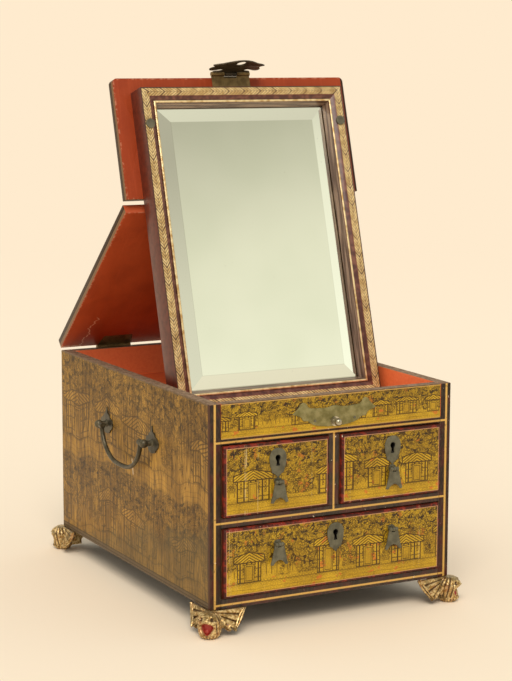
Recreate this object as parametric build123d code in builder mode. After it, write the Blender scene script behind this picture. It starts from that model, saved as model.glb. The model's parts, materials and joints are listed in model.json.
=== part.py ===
"""Lacquered dressing box: folding lid with a framed mirror, a shallow tray and three drawers.

Millimetres. X runs to the right along the front, Y to the back and Z up. The origin is the
middle of the footprint on the ground. The lid stands as it does in use: its rear leaf leans
forward from the back edge, its front leaf is upright, and the mirror fixed to the front leaf
stands on the tray floor.
"""

import os
from math import cos, radians, sin

from build123d import *

os.makedirs("parts", exist_ok=True)

# Case
WIDTH = 280.0
DEPTH = 384.0
WALL = 12.5
BASE_T = 10.0
LONG_OPENING = 72.0
SHELF_T = 10.0
SMALL_OPENING = 73.5
TRAY_T = 8.0
TRAY_DEPTH = 33.5
DIVIDER_T = 12.0
FRONT_T = 12.0
CORNER_ROUND = 1.2

# Feet
FOOT_HEIGHT = 27.0
FOOT_BLOCK = 16.0
WING_LENGTH = 46.0
WING_T = 9.0
WING_TIP = 31.0
WING_TIP_HEIGHT = 9.5
WING_ARCH = 24.0
WING_ARCH_HEIGHT = 14.5
WING_ROOT = 13.0
WING_ROOT_HEIGHT = 11.0
MASK_RADIUS = 13.0
MASK_OUT = 1.0
MASK_DROP = 2.0
BROW_RADIUS = 14.0
BROW_LOW = 13.0
BROW_HIGH = 20.0

# Lid
LID_T = 11.0
FRONT_LEAF = 130.0
LEAF_GAP = 1.0
LID_SET_BACK = 1.5
LID_SEAT = 0.3
LID_CORNER = 5.0
REAR_TURN = 42.3
FRONT_TURN = 106.1

# Hinges
PIN_R = 1.2
KNUCKLE_R = 2.4
PIN_EDGE = 2.8
KNUCKLE_GAP = 0.3
PIN_FIT = 0.05
PLATE_T = 1.2
HINGE_WIDTH = 42.0
HINGE_CENTRE = 73.5
LID_PLATE = 18.0
LID_PLATE_TAPER = 3.5
CASE_PLATE = 9.0
MID_PLATE = 16.0

# Mirror
MIRROR_SIDE = 6.5
MIRROR_HEAD_DROP = 16.5
MIRROR_T = 26.0
MIRROR_STAND = 0.3
RAIL = 20.5
BAND = 9.5
SLOPE = 4.5
SLOPE_DROP = 2.5
BEAD = 3.0
GLASS_DEPTH = 11.0
REBATE = 4.0
GLASS_T = 4.0
GLASS_FIT = 0.5
BEVEL_WIDTH = 15.0
BEVEL_DROP = 1.5
BACKBOARD_T = 3.0
BOLT_HEAD_R = 5.0
BOLT_HEAD_T = 1.6
BOLT_R = 2.5
BOLT_GRIP = 7.0
BOLT_DOWN = 39.0
BOLT_IN = 6.5

# Hasp and lock plate
HASP_WIDTH = 46.0
HASP_PLATE = 16.0
HASP_LIFT = 4.0
TONGUE_T = 1.5
TONGUE_OUT = 0.9
TONGUE_CLEAR = 0.1
TONGUE_NECK = 1.5
TONGUE_LENGTH = 43.0
TONGUE_WAIST = 15.0
TONGUE_WING = 31.0
TONGUE_EYE_AT = 29.4
TONGUE_EYE_LONG = 11.6
TONGUE_EYE_WIDE = 10.0
LOCK_WIDTH = 97.0
LOCK_HEIGHT = 29.0
LOCK_DROP = 4.0
LOCK_DIP = 2.5
LOCK_T = 1.2
STUD_UP = 1.2
STUD_R = 2.6
STUD_HEAD_R = 4.0
STUD_OUT = 12.0
STUD_BOSS_R = 5.0
STUD_BOSS_T = 1.6
NAIL_R = 1.3
NAIL_T = 0.8
NAIL_SPREAD = 23.0
NAIL_UP = 2.0

# Drawers
FRONT_GAP = 1.0
FRONT_SIDE_GAP = 1.5
FRONT_PROUD = 4.0
FRONT_INSET = 12.0
FRONT_BEVEL = 1.2
RUN_GAP = 0.3
SIDE_GAP = 0.6
BOX_WALL = 7.0
BOX_FLOOR = 5.0
BOX_RIM_DROP = 8.0
BOX_BACK_GAP = 2.0

# Drawer fittings
SCUTCHEON_R = 9.0
SCUTCHEON_T = 1.2
SCUTCHEON_POINT = 6.5
SCUTCHEON_DOWN = 18.0
KEY_R = 2.4
KEY_SLOT = 2.6
KEY_LONG = 9.0
KEY_DEEP = 9.0
EYE_DOWN = 40.0
LONG_EYE_DOWN = 20.0
EYE_BASE_R = 4.2
EYE_BASE_T = 1.2
EYE_OUT = 4.4
EYE_LUG = 2.6
EYE_LUG_R = 2.2
EYE_PIN_R = 1.0
EYE_PIN_LONG = 9.0
EYE_FIT = 0.08
TAIL_KNUCKLE_R = 2.1
TAIL_T = 1.6
TAIL_LONG = 21.0
TAIL_WIDE = 19.0
TAIL_NECK = 9.2
TAIL_NOTCH = 5.0
TAIL_SHOULDER = 4.0
TAIL_CORNER = 2.0

# Carrying handles
HANDLE_SPAN = 118.0
HANDLE_UP = 145.0
HANDLE_PLATE_WIDE = 31.0
HANDLE_PLATE_TALL = 21.0
HANDLE_SPIKE = 6.0
HANDLE_PLATE_T = 1.5
POST_OUT = 9.0
POST_R = 2.9
POST_BALL_R = 4.6
POST_FLARE = 1.6
BAIL_WIRE_R = 2.4
BAIL_BALL_R = 3.2
BAIL_PIN_R = 1.6
BAIL_PIN_LONG = 4.0
BAIL_FIT = 0.08
BAIL_GAP = 0.5
BAIL_DROP = 34.0

# Levels, from the ground up
CASE_BOTTOM = FOOT_HEIGHT
BASE_TOP = CASE_BOTTOM + BASE_T
SHELF_BOTTOM = BASE_TOP + LONG_OPENING
SHELF_TOP = SHELF_BOTTOM + SHELF_T
TRAY_BOTTOM = SHELF_TOP + SMALL_OPENING
TRAY_TOP = TRAY_BOTTOM + TRAY_T
CASE_TOP = TRAY_TOP + TRAY_DEPTH
CASE_HEIGHT = CASE_TOP - CASE_BOTTOM

# Places along X and Y
FRONT_Y = -DEPTH / 2
BACK_Y = DEPTH / 2
BACK_INSIDE = BACK_Y - WALL
INSIDE_WIDTH = WIDTH - 2 * WALL
REAR_LEAF = DEPTH - LID_SET_BACK - FRONT_LEAF - LEAF_GAP

# Hinge pins: the rear pin lies behind the case, the middle pin above the joint of the leaves
REAR_PIN_Y = BACK_Y + PIN_EDGE
REAR_PIN_Z = CASE_TOP + LID_SEAT / 2
MID_FROM_REAR_Y = -(PIN_EDGE + REAR_LEAF + LEAF_GAP / 2)
MID_FROM_REAR_Z = LID_SEAT / 2 + LID_T + PIN_EDGE


def turned(pin_y, pin_z, turn):
    """The axes of a leaf that has turned up by this many degrees about a pin along X."""
    return Plane(
        origin=(0, pin_y, pin_z),
        x_dir=(1, 0, 0),
        z_dir=(0, sin(radians(turn)), cos(radians(turn))),
    )


def moved(plane, y, z):
    """The world Y and Z of a point that is given along a leaf's own axes."""
    point = plane.from_local_coords((0, y, z))
    return point.Y, point.Z


REAR = turned(REAR_PIN_Y, REAR_PIN_Z, REAR_TURN)
MID_PIN_Y, MID_PIN_Z = moved(REAR, MID_FROM_REAR_Y, MID_FROM_REAR_Z)
FRONT = turned(MID_PIN_Y, MID_PIN_Z, FRONT_TURN)

# Heights over the middle pin, along the front leaf's own axes
FRONT_OUTER = -PIN_EDGE
FRONT_INNER = FRONT_OUTER - LID_T
FRONT_EDGE = -(LEAF_GAP / 2 + FRONT_LEAF)

# The mirror hangs on the front leaf so that its lowest corner stands on the tray floor
FOOT_ALONG = (
    MID_PIN_Z + FRONT_INNER * cos(radians(FRONT_TURN)) - TRAY_TOP - MIRROR_STAND
) / sin(radians(FRONT_TURN))
MIRROR_HEAD = FRONT_EDGE + MIRROR_HEAD_DROP
MIRROR_LENGTH = FOOT_ALONG - MIRROR_HEAD
MIRROR_WIDTH = INSIDE_WIDTH - 2 * MIRROR_SIDE
MIRROR_MID = (MIRROR_HEAD + FOOT_ALONG) / 2
MIRROR_FACE = FRONT_INNER - MIRROR_T
GLASS_FACE = MIRROR_FACE + GLASS_DEPTH
SIGHT_WIDTH = MIRROR_WIDTH - 2 * RAIL
SIGHT_LENGTH = MIRROR_LENGTH - 2 * RAIL
BOLT_X = MIRROR_WIDTH / 2 - BOLT_IN
BOLT_ALONG = MIRROR_HEAD + BOLT_DOWN

# The hasp turns on a pin just past the front leaf's free edge, level with its inner face
HASP_EDGE = FRONT_EDGE - LID_SET_BACK - PIN_EDGE
HASP_PIN_Y, HASP_PIN_Z = moved(FRONT, HASP_EDGE, FRONT_INNER)
HASP = turned(HASP_PIN_Y, HASP_PIN_Z, FRONT_TURN + HASP_LIFT)
STUD_Z = CASE_TOP + LID_SEAT - TONGUE_EYE_AT + STUD_UP

# Drawer fronts
FACE_Y = FRONT_Y - FRONT_PROUD
FRONT_BACK_Y = FRONT_Y + FRONT_INSET
BOX_BACK_Y = BACK_INSIDE - BOX_BACK_GAP
SMALL_WIDTH = (INSIDE_WIDTH - DIVIDER_T) / 2 - 2 * FRONT_SIDE_GAP
SMALL_X = (DIVIDER_T + INSIDE_WIDTH) / 4
LONG_WIDTH = INSIDE_WIDTH - 2 * FRONT_SIDE_GAP


def save(part, name):
    """Name a piece and write its file."""
    part.label = name
    export_step(part, f"parts/{name}.step")


def block(width, depth, height, x, y, z):
    """A box by its size, the middle of its plan and its lowest height."""
    with BuildSketch(Plane.XY.offset(z)) as plan:
        with Locations((x, y)):
            Rectangle(width, depth)
    extrude(plan.sketch, amount=height)


def rod(radius, x_start, x_end, y, z, mode=Mode.ADD):
    """A round bar along X."""
    with BuildSketch(Plane.YZ.offset(x_start)) as end:
        with Locations((y, z)):
            Circle(radius)
    extrude(end.sketch, amount=x_end - x_start, mode=mode)


def plate(plane, level, x_mid, width, y_low, y_high, thick, mode=Mode.ADD):
    """A flat plate on a leaf's own axes, from one height up."""
    with BuildSketch(plane.offset(level)) as outline:
        with Locations((x_mid, (y_low + y_high) / 2)):
            Rectangle(width, y_high - y_low)
    extrude(outline.sketch, amount=thick, mode=mode)


def knuckles(width):
    """The three stretches of a hinge barrel: the outer two and the middle one."""
    third = width / 3
    edge = third / 2 - KNUCKLE_GAP / 2
    middle = (-edge, edge)
    outer = [(-width / 2, -edge - KNUCKLE_GAP), (edge + KNUCKLE_GAP, width / 2)]
    return outer, middle


HINGE_OUTER, HINGE_MIDDLE = knuckles(HINGE_WIDTH)
HASP_OUTER, HASP_MIDDLE = knuckles(HASP_WIDTH)
HINGE_PLACES = (-HINGE_CENTRE, HINGE_CENTRE)


def tapered_plate(plane, level, x_mid, y_near, mode):
    """The rear hinge's plate on the lid, a little narrower at its far end."""
    near = HINGE_WIDTH / 2
    far = near - LID_PLATE_TAPER
    with BuildSketch(plane.offset(level)) as outline:
        with BuildLine():
            Polyline(
                (x_mid - near, y_near),
                (x_mid + near, y_near),
                (x_mid + far, y_near - LID_PLATE),
                (x_mid - far, y_near - LID_PLATE),
                close=True,
            )
        make_face()
    extrude(outline.sketch, amount=PLATE_T, mode=mode)


# Case sides
for side, name in ((-1, "case_side_left"), (1, "case_side_right")):
    with BuildPart() as case_side:
        block(WALL, DEPTH, CASE_HEIGHT, side * (WIDTH - WALL) / 2, 0, CASE_BOTTOM)
        corners = case_side.edges().filter_by(Axis.Z).sort_by(Axis.X)
        fillet(corners[:2] if side < 0 else corners[2:], CORNER_ROUND)
    save(case_side.part, name)

# Case back, let in at the top for the hinge plates
with BuildPart() as case_back:
    block(INSIDE_WIDTH, WALL, CASE_HEIGHT, 0, BACK_Y - WALL / 2, CASE_BOTTOM)
    for place in HINGE_PLACES:
        with BuildSketch(Plane.XY.offset(CASE_TOP - PLATE_T)):
            with Locations((place, BACK_Y - CASE_PLATE / 2)):
                Rectangle(HINGE_WIDTH, CASE_PLATE)
        extrude(amount=PLATE_T, mode=Mode.SUBTRACT)
save(case_back.part, "case_back")

# Bottom board, the board between the drawers, the divider and the tray floor
BOARD_DEPTH = DEPTH - WALL
BOARD_Y = -WALL / 2
with BuildPart() as case_base:
    block(INSIDE_WIDTH, BOARD_DEPTH, BASE_T, 0, BOARD_Y, CASE_BOTTOM)
save(case_base.part, "case_base")

with BuildPart() as drawer_shelf:
    block(INSIDE_WIDTH, BOARD_DEPTH, SHELF_T, 0, BOARD_Y, SHELF_BOTTOM)
save(drawer_shelf.part, "drawer_shelf")

with BuildPart() as drawer_divider:
    block(DIVIDER_T, BOARD_DEPTH, SMALL_OPENING, 0, BOARD_Y, SHELF_TOP)
save(drawer_divider.part, "drawer_divider")

with BuildPart() as tray_floor:
    block(INSIDE_WIDTH, BOARD_DEPTH - FRONT_T, TRAY_T, 0, BOARD_Y + FRONT_T / 2, TRAY_BOTTOM)
save(tray_floor.part, "tray_floor")

# Front wall of the tray
with BuildPart() as tray_front:
    block(INSIDE_WIDTH, FRONT_T, TRAY_T + TRAY_DEPTH, 0, FRONT_Y + FRONT_T / 2, TRAY_BOTTOM)
save(tray_front.part, "tray_front")


def wing(plane):
    """A bracket wing of a foot, seen square on: a slanting end and an arch before the mask."""
    with BuildSketch(plane) as bracket:
        with BuildLine():
            Polyline(
                (WING_TIP, WING_TIP_HEIGHT),
                (WING_LENGTH, FOOT_HEIGHT),
                (0, FOOT_HEIGHT),
                (0, WING_ROOT_HEIGHT),
                (WING_ROOT, WING_ROOT_HEIGHT),
            )
            ThreePointArc(
                (WING_ROOT, WING_ROOT_HEIGHT),
                (WING_ARCH, WING_ARCH_HEIGHT),
                (WING_TIP, WING_TIP_HEIGHT),
            )
        make_face()
    extrude(bracket.sketch, amount=WING_T / 2, both=True)


# Carved feet: a block under the corner, two wings, and a round mask with its brow
for side_x, side_y, name in (
    (-1, -1, "foot_front_left"),
    (1, -1, "foot_front_right"),
    (-1, 1, "foot_back_left"),
    (1, 1, "foot_back_right"),
):
    corner_x = side_x * WIDTH / 2
    corner_y = side_y * DEPTH / 2
    block_x = corner_x - side_x * FOOT_BLOCK / 2
    block_y = corner_y - side_y * FOOT_BLOCK / 2
    mask_at = (corner_x + side_x * MASK_OUT, corner_y + side_y * MASK_OUT)
    with BuildPart() as foot:
        block(FOOT_BLOCK, FOOT_BLOCK, FOOT_HEIGHT, block_x, block_y, 0)
        wing(
            Plane(
                origin=(corner_x, corner_y - side_y * WING_T / 2, 0),
                x_dir=(-side_x, 0, 0),
                z_dir=(0, side_x, 0),
            )
        )
        wing(
            Plane(
                origin=(corner_x - side_x * WING_T / 2, corner_y, 0),
                x_dir=(0, -side_y, 0),
                z_dir=(-side_y, 0, 0),
            )
        )
        with BuildSketch(Plane.XY):
            with Locations(mask_at):
                Circle(MASK_RADIUS)
        extrude(amount=FOOT_HEIGHT - MASK_DROP)
        with BuildSketch(Plane.XY.offset(BROW_LOW)):
            with Locations(mask_at):
                Circle(BROW_RADIUS)
        extrude(amount=BROW_HIGH - BROW_LOW)
    save(foot.part, name)

# Rear leaf of the lid, let in on its inner face for the hinge plates
with BuildPart() as lid_rear_leaf:
    plate(REAR, LID_SEAT / 2, 0, WIDTH, -PIN_EDGE - REAR_LEAF, -PIN_EDGE, LID_T)
    for place in HINGE_PLACES:
        tapered_plate(REAR, LID_SEAT / 2, place, -PIN_EDGE, Mode.SUBTRACT)
save(lid_rear_leaf.part, "lid_rear_leaf")

# Front leaf of the lid, with rounded free corners, a seat for the hasp plate and bolt holes
with BuildPart() as lid_front_leaf:
    with BuildSketch(FRONT.offset(FRONT_INNER)) as leaf_outline:
        with Locations((0, (FRONT_EDGE - LEAF_GAP / 2) / 2)):
            Rectangle(WIDTH, FRONT_LEAF)
        fillet(leaf_outline.vertices().sort_by(Axis.Y)[:2], LID_CORNER)
    extrude(amount=LID_T)
    plate(
        FRONT, FRONT_INNER, 0, HASP_WIDTH, FRONT_EDGE, FRONT_EDGE + HASP_PLATE, PLATE_T, Mode.SUBTRACT
    )
    with BuildSketch(FRONT.offset(FRONT_INNER)):
        with Locations((-BOLT_X, BOLT_ALONG), (BOLT_X, BOLT_ALONG)):
            Circle(BOLT_R + PIN_FIT)
    extrude(amount=BOLT_GRIP + PIN_FIT, mode=Mode.SUBTRACT)
save(lid_front_leaf.part, "lid_front_leaf")

# Rear hinges: plates let into the case, plates let into the lid, and the pins
with BuildPart() as rear_hinge_case_plates:
    for place in HINGE_PLACES:
        block(HINGE_WIDTH, CASE_PLATE, PLATE_T, place, BACK_Y - CASE_PLATE / 2, CASE_TOP - PLATE_T)
        for start, end in HINGE_OUTER:
            middle_x = place + (start + end) / 2
            block(end - start, PIN_EDGE, PLATE_T, middle_x, BACK_Y + PIN_EDGE / 2, CASE_TOP - PLATE_T)
            rod(KNUCKLE_R, place + start, place + end, REAR_PIN_Y, REAR_PIN_Z)
            rod(PIN_R + PIN_FIT, place + start, place + end, REAR_PIN_Y, REAR_PIN_Z, Mode.SUBTRACT)
save(rear_hinge_case_plates.part, "rear_hinge_case_plates")

with BuildPart() as rear_hinge_lid_plates:
    for place in HINGE_PLACES:
        tapered_plate(REAR, LID_SEAT / 2, place, -PIN_EDGE, Mode.ADD)
        start, end = HINGE_MIDDLE
        plate(REAR, LID_SEAT / 2, place, end - start, -PIN_EDGE, 0, PLATE_T)
        rod(KNUCKLE_R, place + start, place + end, REAR_PIN_Y, REAR_PIN_Z)
        rod(PIN_R + PIN_FIT, place + start, place + end, REAR_PIN_Y, REAR_PIN_Z, Mode.SUBTRACT)
save(rear_hinge_lid_plates.part, "rear_hinge_lid_plates")

with BuildPart() as rear_hinge_pins:
    for place in HINGE_PLACES:
        rod(PIN_R, place - HINGE_WIDTH / 2, place + HINGE_WIDTH / 2, REAR_PIN_Y, REAR_PIN_Z)
save(rear_hinge_pins.part, "rear_hinge_pins")

# Middle hinges: plates on the outer faces of both leaves, and the pins
REAR_OUTER = LID_SEAT / 2 + LID_T
with BuildPart() as mid_hinge_rear_plates:
    for place in HINGE_PLACES:
        near = MID_FROM_REAR_Y + PIN_EDGE
        plate(REAR, REAR_OUTER, place, HINGE_WIDTH, near, near + MID_PLATE, PLATE_T)
        for start, end in HINGE_OUTER:
            middle_x = place + (start + end) / 2
            plate(REAR, REAR_OUTER, middle_x, end - start, MID_FROM_REAR_Y, near, PLATE_T)
            rod(KNUCKLE_R, place + start, place + end, MID_PIN_Y, MID_PIN_Z)
            rod(PIN_R + PIN_FIT, place + start, place + end, MID_PIN_Y, MID_PIN_Z, Mode.SUBTRACT)
save(mid_hinge_rear_plates.part, "mid_hinge_rear_plates")

with BuildPart() as mid_hinge_front_plates:
    for place in HINGE_PLACES:
        plate(FRONT, FRONT_OUTER, place, HINGE_WIDTH, -PIN_EDGE - MID_PLATE, -PIN_EDGE, PLATE_T)
        start, end = HINGE_MIDDLE
        plate(FRONT, FRONT_OUTER, place, end - start, -PIN_EDGE, 0, PLATE_T)
        rod(KNUCKLE_R, place + start, place + end, MID_PIN_Y, MID_PIN_Z)
        rod(PIN_R + PIN_FIT, place + start, place + end, MID_PIN_Y, MID_PIN_Z, Mode.SUBTRACT)
save(mid_hinge_front_plates.part, "mid_hinge_front_plates")

with BuildPart() as mid_hinge_pins:
    for place in HINGE_PLACES:
        rod(PIN_R, place - HINGE_WIDTH / 2, place + HINGE_WIDTH / 2, MID_PIN_Y, MID_PIN_Z)
save(mid_hinge_pins.part, "mid_hinge_pins")

# Mirror frame: four mitred rails with one moulding, worked on the front leaf's axes
OUTSIDE = MIRROR_T
SIGHT_HEIGHT = MIRROR_T - GLASS_DEPTH
BEAD_START = BAND + SLOPE
BEAD_END = BEAD_START + BEAD
SLOPE_HEIGHT = MIRROR_T - SLOPE_DROP


def rail_profile(plane):
    """The moulding's section: outer edge at 0, inner edge at the rail's width, front face up."""
    with BuildSketch(plane) as section:
        with BuildLine():
            Polyline(
                (BEAD_START, SLOPE_HEIGHT),
                (BAND, OUTSIDE),
                (0, OUTSIDE),
                (0, 0),
                (RAIL - REBATE, 0),
                (RAIL - REBATE, SIGHT_HEIGHT),
                (RAIL, SIGHT_HEIGHT),
                (BEAD_END, SLOPE_HEIGHT),
            )
            ThreePointArc(
                (BEAD_END, SLOPE_HEIGHT),
                ((BEAD_START + BEAD_END) / 2, SLOPE_HEIGHT + BEAD / 2),
                (BEAD_START, SLOPE_HEIGHT),
            )
        make_face()
    return section.sketch


def rail(length, outer_edge, inward, name, bolt_place=None):
    """One rail: the section run over its length, cut to mitres, and bored for its bolt."""
    along = Vector(0, 0, 1).cross(inward)
    with BuildPart() as frame_rail:
        start = outer_edge - along * (length / 2)
        origin = FRONT.from_local_coords((start.X, start.Y, FRONT_INNER))
        x_dir = FRONT.from_local_coords(inward) - FRONT.origin
        z_dir = FRONT.from_local_coords(along) - FRONT.origin
        extrude(rail_profile(Plane(origin=origin, x_dir=x_dir, z_dir=z_dir)), amount=length)
        with BuildSketch(FRONT.offset(MIRROR_FACE)):
            with BuildLine():
                first = outer_edge - along * (length / 2)
                last = outer_edge + along * (length / 2)
                third = last + (inward - along) * RAIL
                fourth = first + (inward + along) * RAIL
                Polyline(
                    (first.X, first.Y), (last.X, last.Y), (third.X, third.Y), (fourth.X, fourth.Y), close=True
                )
            make_face()
        extrude(amount=MIRROR_T, mode=Mode.INTERSECT)
        if bolt_place:
            with BuildSketch(FRONT.offset(MIRROR_FACE)):
                with Locations(bolt_place):
                    Circle(BOLT_R + PIN_FIT)
            extrude(amount=MIRROR_T, mode=Mode.SUBTRACT)
    save(frame_rail.part, name)


HALF_MIRROR = MIRROR_WIDTH / 2
rail(
    MIRROR_LENGTH, Vector(-HALF_MIRROR, MIRROR_MID, 0), Vector(1, 0, 0), "mirror_stile_left",
    (-BOLT_X, BOLT_ALONG),
)
rail(
    MIRROR_LENGTH, Vector(HALF_MIRROR, MIRROR_MID, 0), Vector(-1, 0, 0), "mirror_stile_right",
    (BOLT_X, BOLT_ALONG),
)
rail(MIRROR_WIDTH, Vector(0, MIRROR_HEAD, 0), Vector(0, 1, 0), "mirror_rail_top")
rail(MIRROR_WIDTH, Vector(0, FOOT_ALONG, 0), Vector(0, -1, 0), "mirror_rail_bottom")

# Bevelled glass and the board behind it
GLASS_WIDTH = SIGHT_WIDTH + 2 * (REBATE - GLASS_FIT)
GLASS_LENGTH = SIGHT_LENGTH + 2 * (REBATE - GLASS_FIT)
with BuildPart() as mirror_glass:
    with BuildSketch(FRONT.offset(GLASS_FACE)):
        with Locations((0, MIRROR_MID)):
            Rectangle(GLASS_WIDTH, GLASS_LENGTH)
    extrude(amount=GLASS_T)
    shown = mirror_glass.faces().sort_by(Axis(FRONT.origin, FRONT.z_dir))[0]
    chamfer(shown.edges(), length=BEVEL_WIDTH + REBATE - GLASS_FIT, length2=BEVEL_DROP, reference=shown)
save(mirror_glass.part, "mirror_glass")

with BuildPart() as mirror_backboard:
    with BuildSketch(FRONT.offset(GLASS_FACE + GLASS_T)):
        with Locations((0, MIRROR_MID)):
            Rectangle(GLASS_WIDTH, GLASS_LENGTH)
    extrude(amount=BACKBOARD_T)
save(mirror_backboard.part, "mirror_backboard")

# Two bolts hold the frame to the front leaf
with BuildPart() as mirror_bolts:
    with BuildSketch(FRONT.offset(MIRROR_FACE)):
        with Locations((-BOLT_X, BOLT_ALONG), (BOLT_X, BOLT_ALONG)):
            Circle(BOLT_R)
    extrude(amount=MIRROR_T + BOLT_GRIP)
    with BuildSketch(FRONT.offset(MIRROR_FACE)):
        with Locations((-BOLT_X, BOLT_ALONG), (BOLT_X, BOLT_ALONG)):
            Circle(BOLT_HEAD_R)
    extrude(amount=-BOLT_HEAD_T)
save(mirror_bolts.part, "mirror_bolts")

# Hasp: plate on the front leaf's inner face, pin, and the pierced tongue
with BuildPart() as hasp_plate:
    plate(FRONT, FRONT_INNER, 0, HASP_WIDTH, FRONT_EDGE, FRONT_EDGE + HASP_PLATE, PLATE_T)
    for start, end in HASP_OUTER:
        plate(FRONT, FRONT_INNER, (start + end) / 2, end - start, HASP_EDGE, FRONT_EDGE, PLATE_T)
        rod(KNUCKLE_R, start, end, HASP_PIN_Y, HASP_PIN_Z)
        rod(PIN_R + PIN_FIT, start, end, HASP_PIN_Y, HASP_PIN_Z, Mode.SUBTRACT)
save(hasp_plate.part, "hasp_plate")

with BuildPart() as hasp_pin:
    rod(PIN_R, -HASP_WIDTH / 2, HASP_WIDTH / 2, HASP_PIN_Y, HASP_PIN_Z)
save(hasp_pin.part, "hasp_pin")

HANG = Plane(origin=HASP.origin, x_dir=HASP.x_dir, z_dir=-HASP.y_dir)
TONGUE_TOP = -(KNUCKLE_R + KNUCKLE_GAP + TONGUE_CLEAR)
with BuildPart() as hasp_tongue:
    with BuildSketch(HANG.offset(TONGUE_OUT)) as tongue_outline:
        with BuildLine():
            Line((0, TONGUE_TOP), (HASP_WIDTH / 2, TONGUE_TOP))
            Spline(
                (HASP_WIDTH / 2, TONGUE_TOP),
                (TONGUE_WAIST, -TONGUE_LENGTH * 0.25),
                (TONGUE_WAIST + TONGUE_NECK, -TONGUE_LENGTH * 0.36),
                (TONGUE_WING, -TONGUE_LENGTH * 0.5),
                tangents=((-1, -0.3), (1, 0.15)),
            )
            Spline(
                (TONGUE_WING, -TONGUE_LENGTH * 0.5),
                (TONGUE_WING * 0.72, -TONGUE_LENGTH * 0.72),
                (TONGUE_WING * 0.34, -TONGUE_LENGTH * 0.86),
                (0, -TONGUE_LENGTH),
                tangents=((-0.3, -1), (-0.4, -1)),
            )
            Line((0, -TONGUE_LENGTH), (0, TONGUE_TOP))
        make_face()
        mirror(about=Plane.YZ)
        with Locations((0, -TONGUE_EYE_AT)):
            Ellipse(TONGUE_EYE_WIDE / 2, TONGUE_EYE_LONG / 2, mode=Mode.SUBTRACT)
    extrude(amount=TONGUE_T)
    with BuildSketch(HANG.offset(TONGUE_OUT)):
        with Locations((0, TONGUE_TOP / 2)):
            Rectangle(HASP_MIDDLE[1] - HASP_MIDDLE[0], -TONGUE_TOP)
    extrude(amount=TONGUE_T)
    rod(KNUCKLE_R, *HASP_MIDDLE, HASP_PIN_Y, HASP_PIN_Z)
    rod(PIN_R + PIN_FIT, *HASP_MIDDLE, HASP_PIN_Y, HASP_PIN_Z, Mode.SUBTRACT)
save(hasp_tongue.part, "hasp_tongue")

# Bat-shaped lock plate on the tray's front wall, its nails and its stud
FACE = Plane(origin=(0, FRONT_Y, 0), x_dir=(1, 0, 0), z_dir=(0, -1, 0))
LOCK_TOP = CASE_TOP - LOCK_DROP
with BuildPart() as lock_plate:
    with BuildSketch(FACE) as lock_outline:
        with BuildLine():
            Spline(
                (0, LOCK_TOP),
                (LOCK_WIDTH * 0.16, LOCK_TOP - LOCK_DIP),
                (LOCK_WIDTH * 0.33, LOCK_TOP),
                (LOCK_WIDTH * 0.40, LOCK_TOP - LOCK_HEIGHT * 0.25),
                (LOCK_WIDTH / 2, LOCK_TOP - LOCK_HEIGHT * 0.52),
            )
            Spline(
                (LOCK_WIDTH / 2, LOCK_TOP - LOCK_HEIGHT * 0.52),
                (LOCK_WIDTH * 0.36, LOCK_TOP - LOCK_HEIGHT * 0.72),
                (LOCK_WIDTH * 0.24, LOCK_TOP - LOCK_HEIGHT * 0.88),
                (0, LOCK_TOP - LOCK_HEIGHT),
                tangents=((-1, -0.1), (-1, 0)),
            )
            Line((0, LOCK_TOP - LOCK_HEIGHT), (0, LOCK_TOP))
        make_face()
        mirror(about=Plane.YZ)
        with Locations((0, STUD_Z)):
            Circle(STUD_R + PIN_FIT, mode=Mode.SUBTRACT)
    extrude(amount=LOCK_T)
save(lock_plate.part, "lock_plate")

with BuildPart() as lock_nails:
    with BuildSketch(FACE.offset(LOCK_T)):
        with Locations((-NAIL_SPREAD, STUD_Z + NAIL_UP), (NAIL_SPREAD, STUD_Z + NAIL_UP)):
            Circle(NAIL_R)
    extrude(amount=NAIL_T)
save(lock_nails.part, "lock_nails")

with BuildPart() as lock_stud:
    with BuildSketch(FACE):
        with Locations((0, STUD_Z)):
            Circle(STUD_R)
    extrude(amount=STUD_OUT - STUD_HEAD_R)
    with BuildSketch(FACE.offset(LOCK_T)):
        with Locations((0, STUD_Z)):
            Circle(STUD_BOSS_R)
    extrude(amount=STUD_BOSS_T)
    with Locations((0, FRONT_Y - STUD_OUT + STUD_HEAD_R, STUD_Z)):
        Sphere(STUD_HEAD_R)
save(lock_stud.part, "lock_stud")

# Drawers: name, middle, width, bottom of the opening, its height, and where the pulls hang
DRAWERS = (
    ("small_drawer_left", -SMALL_X, SMALL_WIDTH, SHELF_TOP, SMALL_OPENING, (0,), EYE_DOWN),
    ("small_drawer_right", SMALL_X, SMALL_WIDTH, SHELF_TOP, SMALL_OPENING, (0,), EYE_DOWN),
    (
        "long_drawer", 0, LONG_WIDTH, BASE_TOP, LONG_OPENING, (-SMALL_X, SMALL_X), LONG_EYE_DOWN,
    ),
)
DRAWER_FACE = Plane(origin=(0, FACE_Y, 0), x_dir=(1, 0, 0), z_dir=(0, -1, 0))


def keyhole(depth_plane, x, z, grow, amount, mode):
    """A keyhole: a round top and a slot below it."""
    with BuildSketch(depth_plane) as hole:
        with Locations((x, z + KEY_LONG / 2 - KEY_R)):
            Circle(KEY_R + grow)
        with Locations((x, z - KEY_R / 2)):
            Rectangle(KEY_SLOT + 2 * grow, KEY_LONG - KEY_R)
    extrude(hole.sketch, amount=amount, mode=mode)


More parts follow.
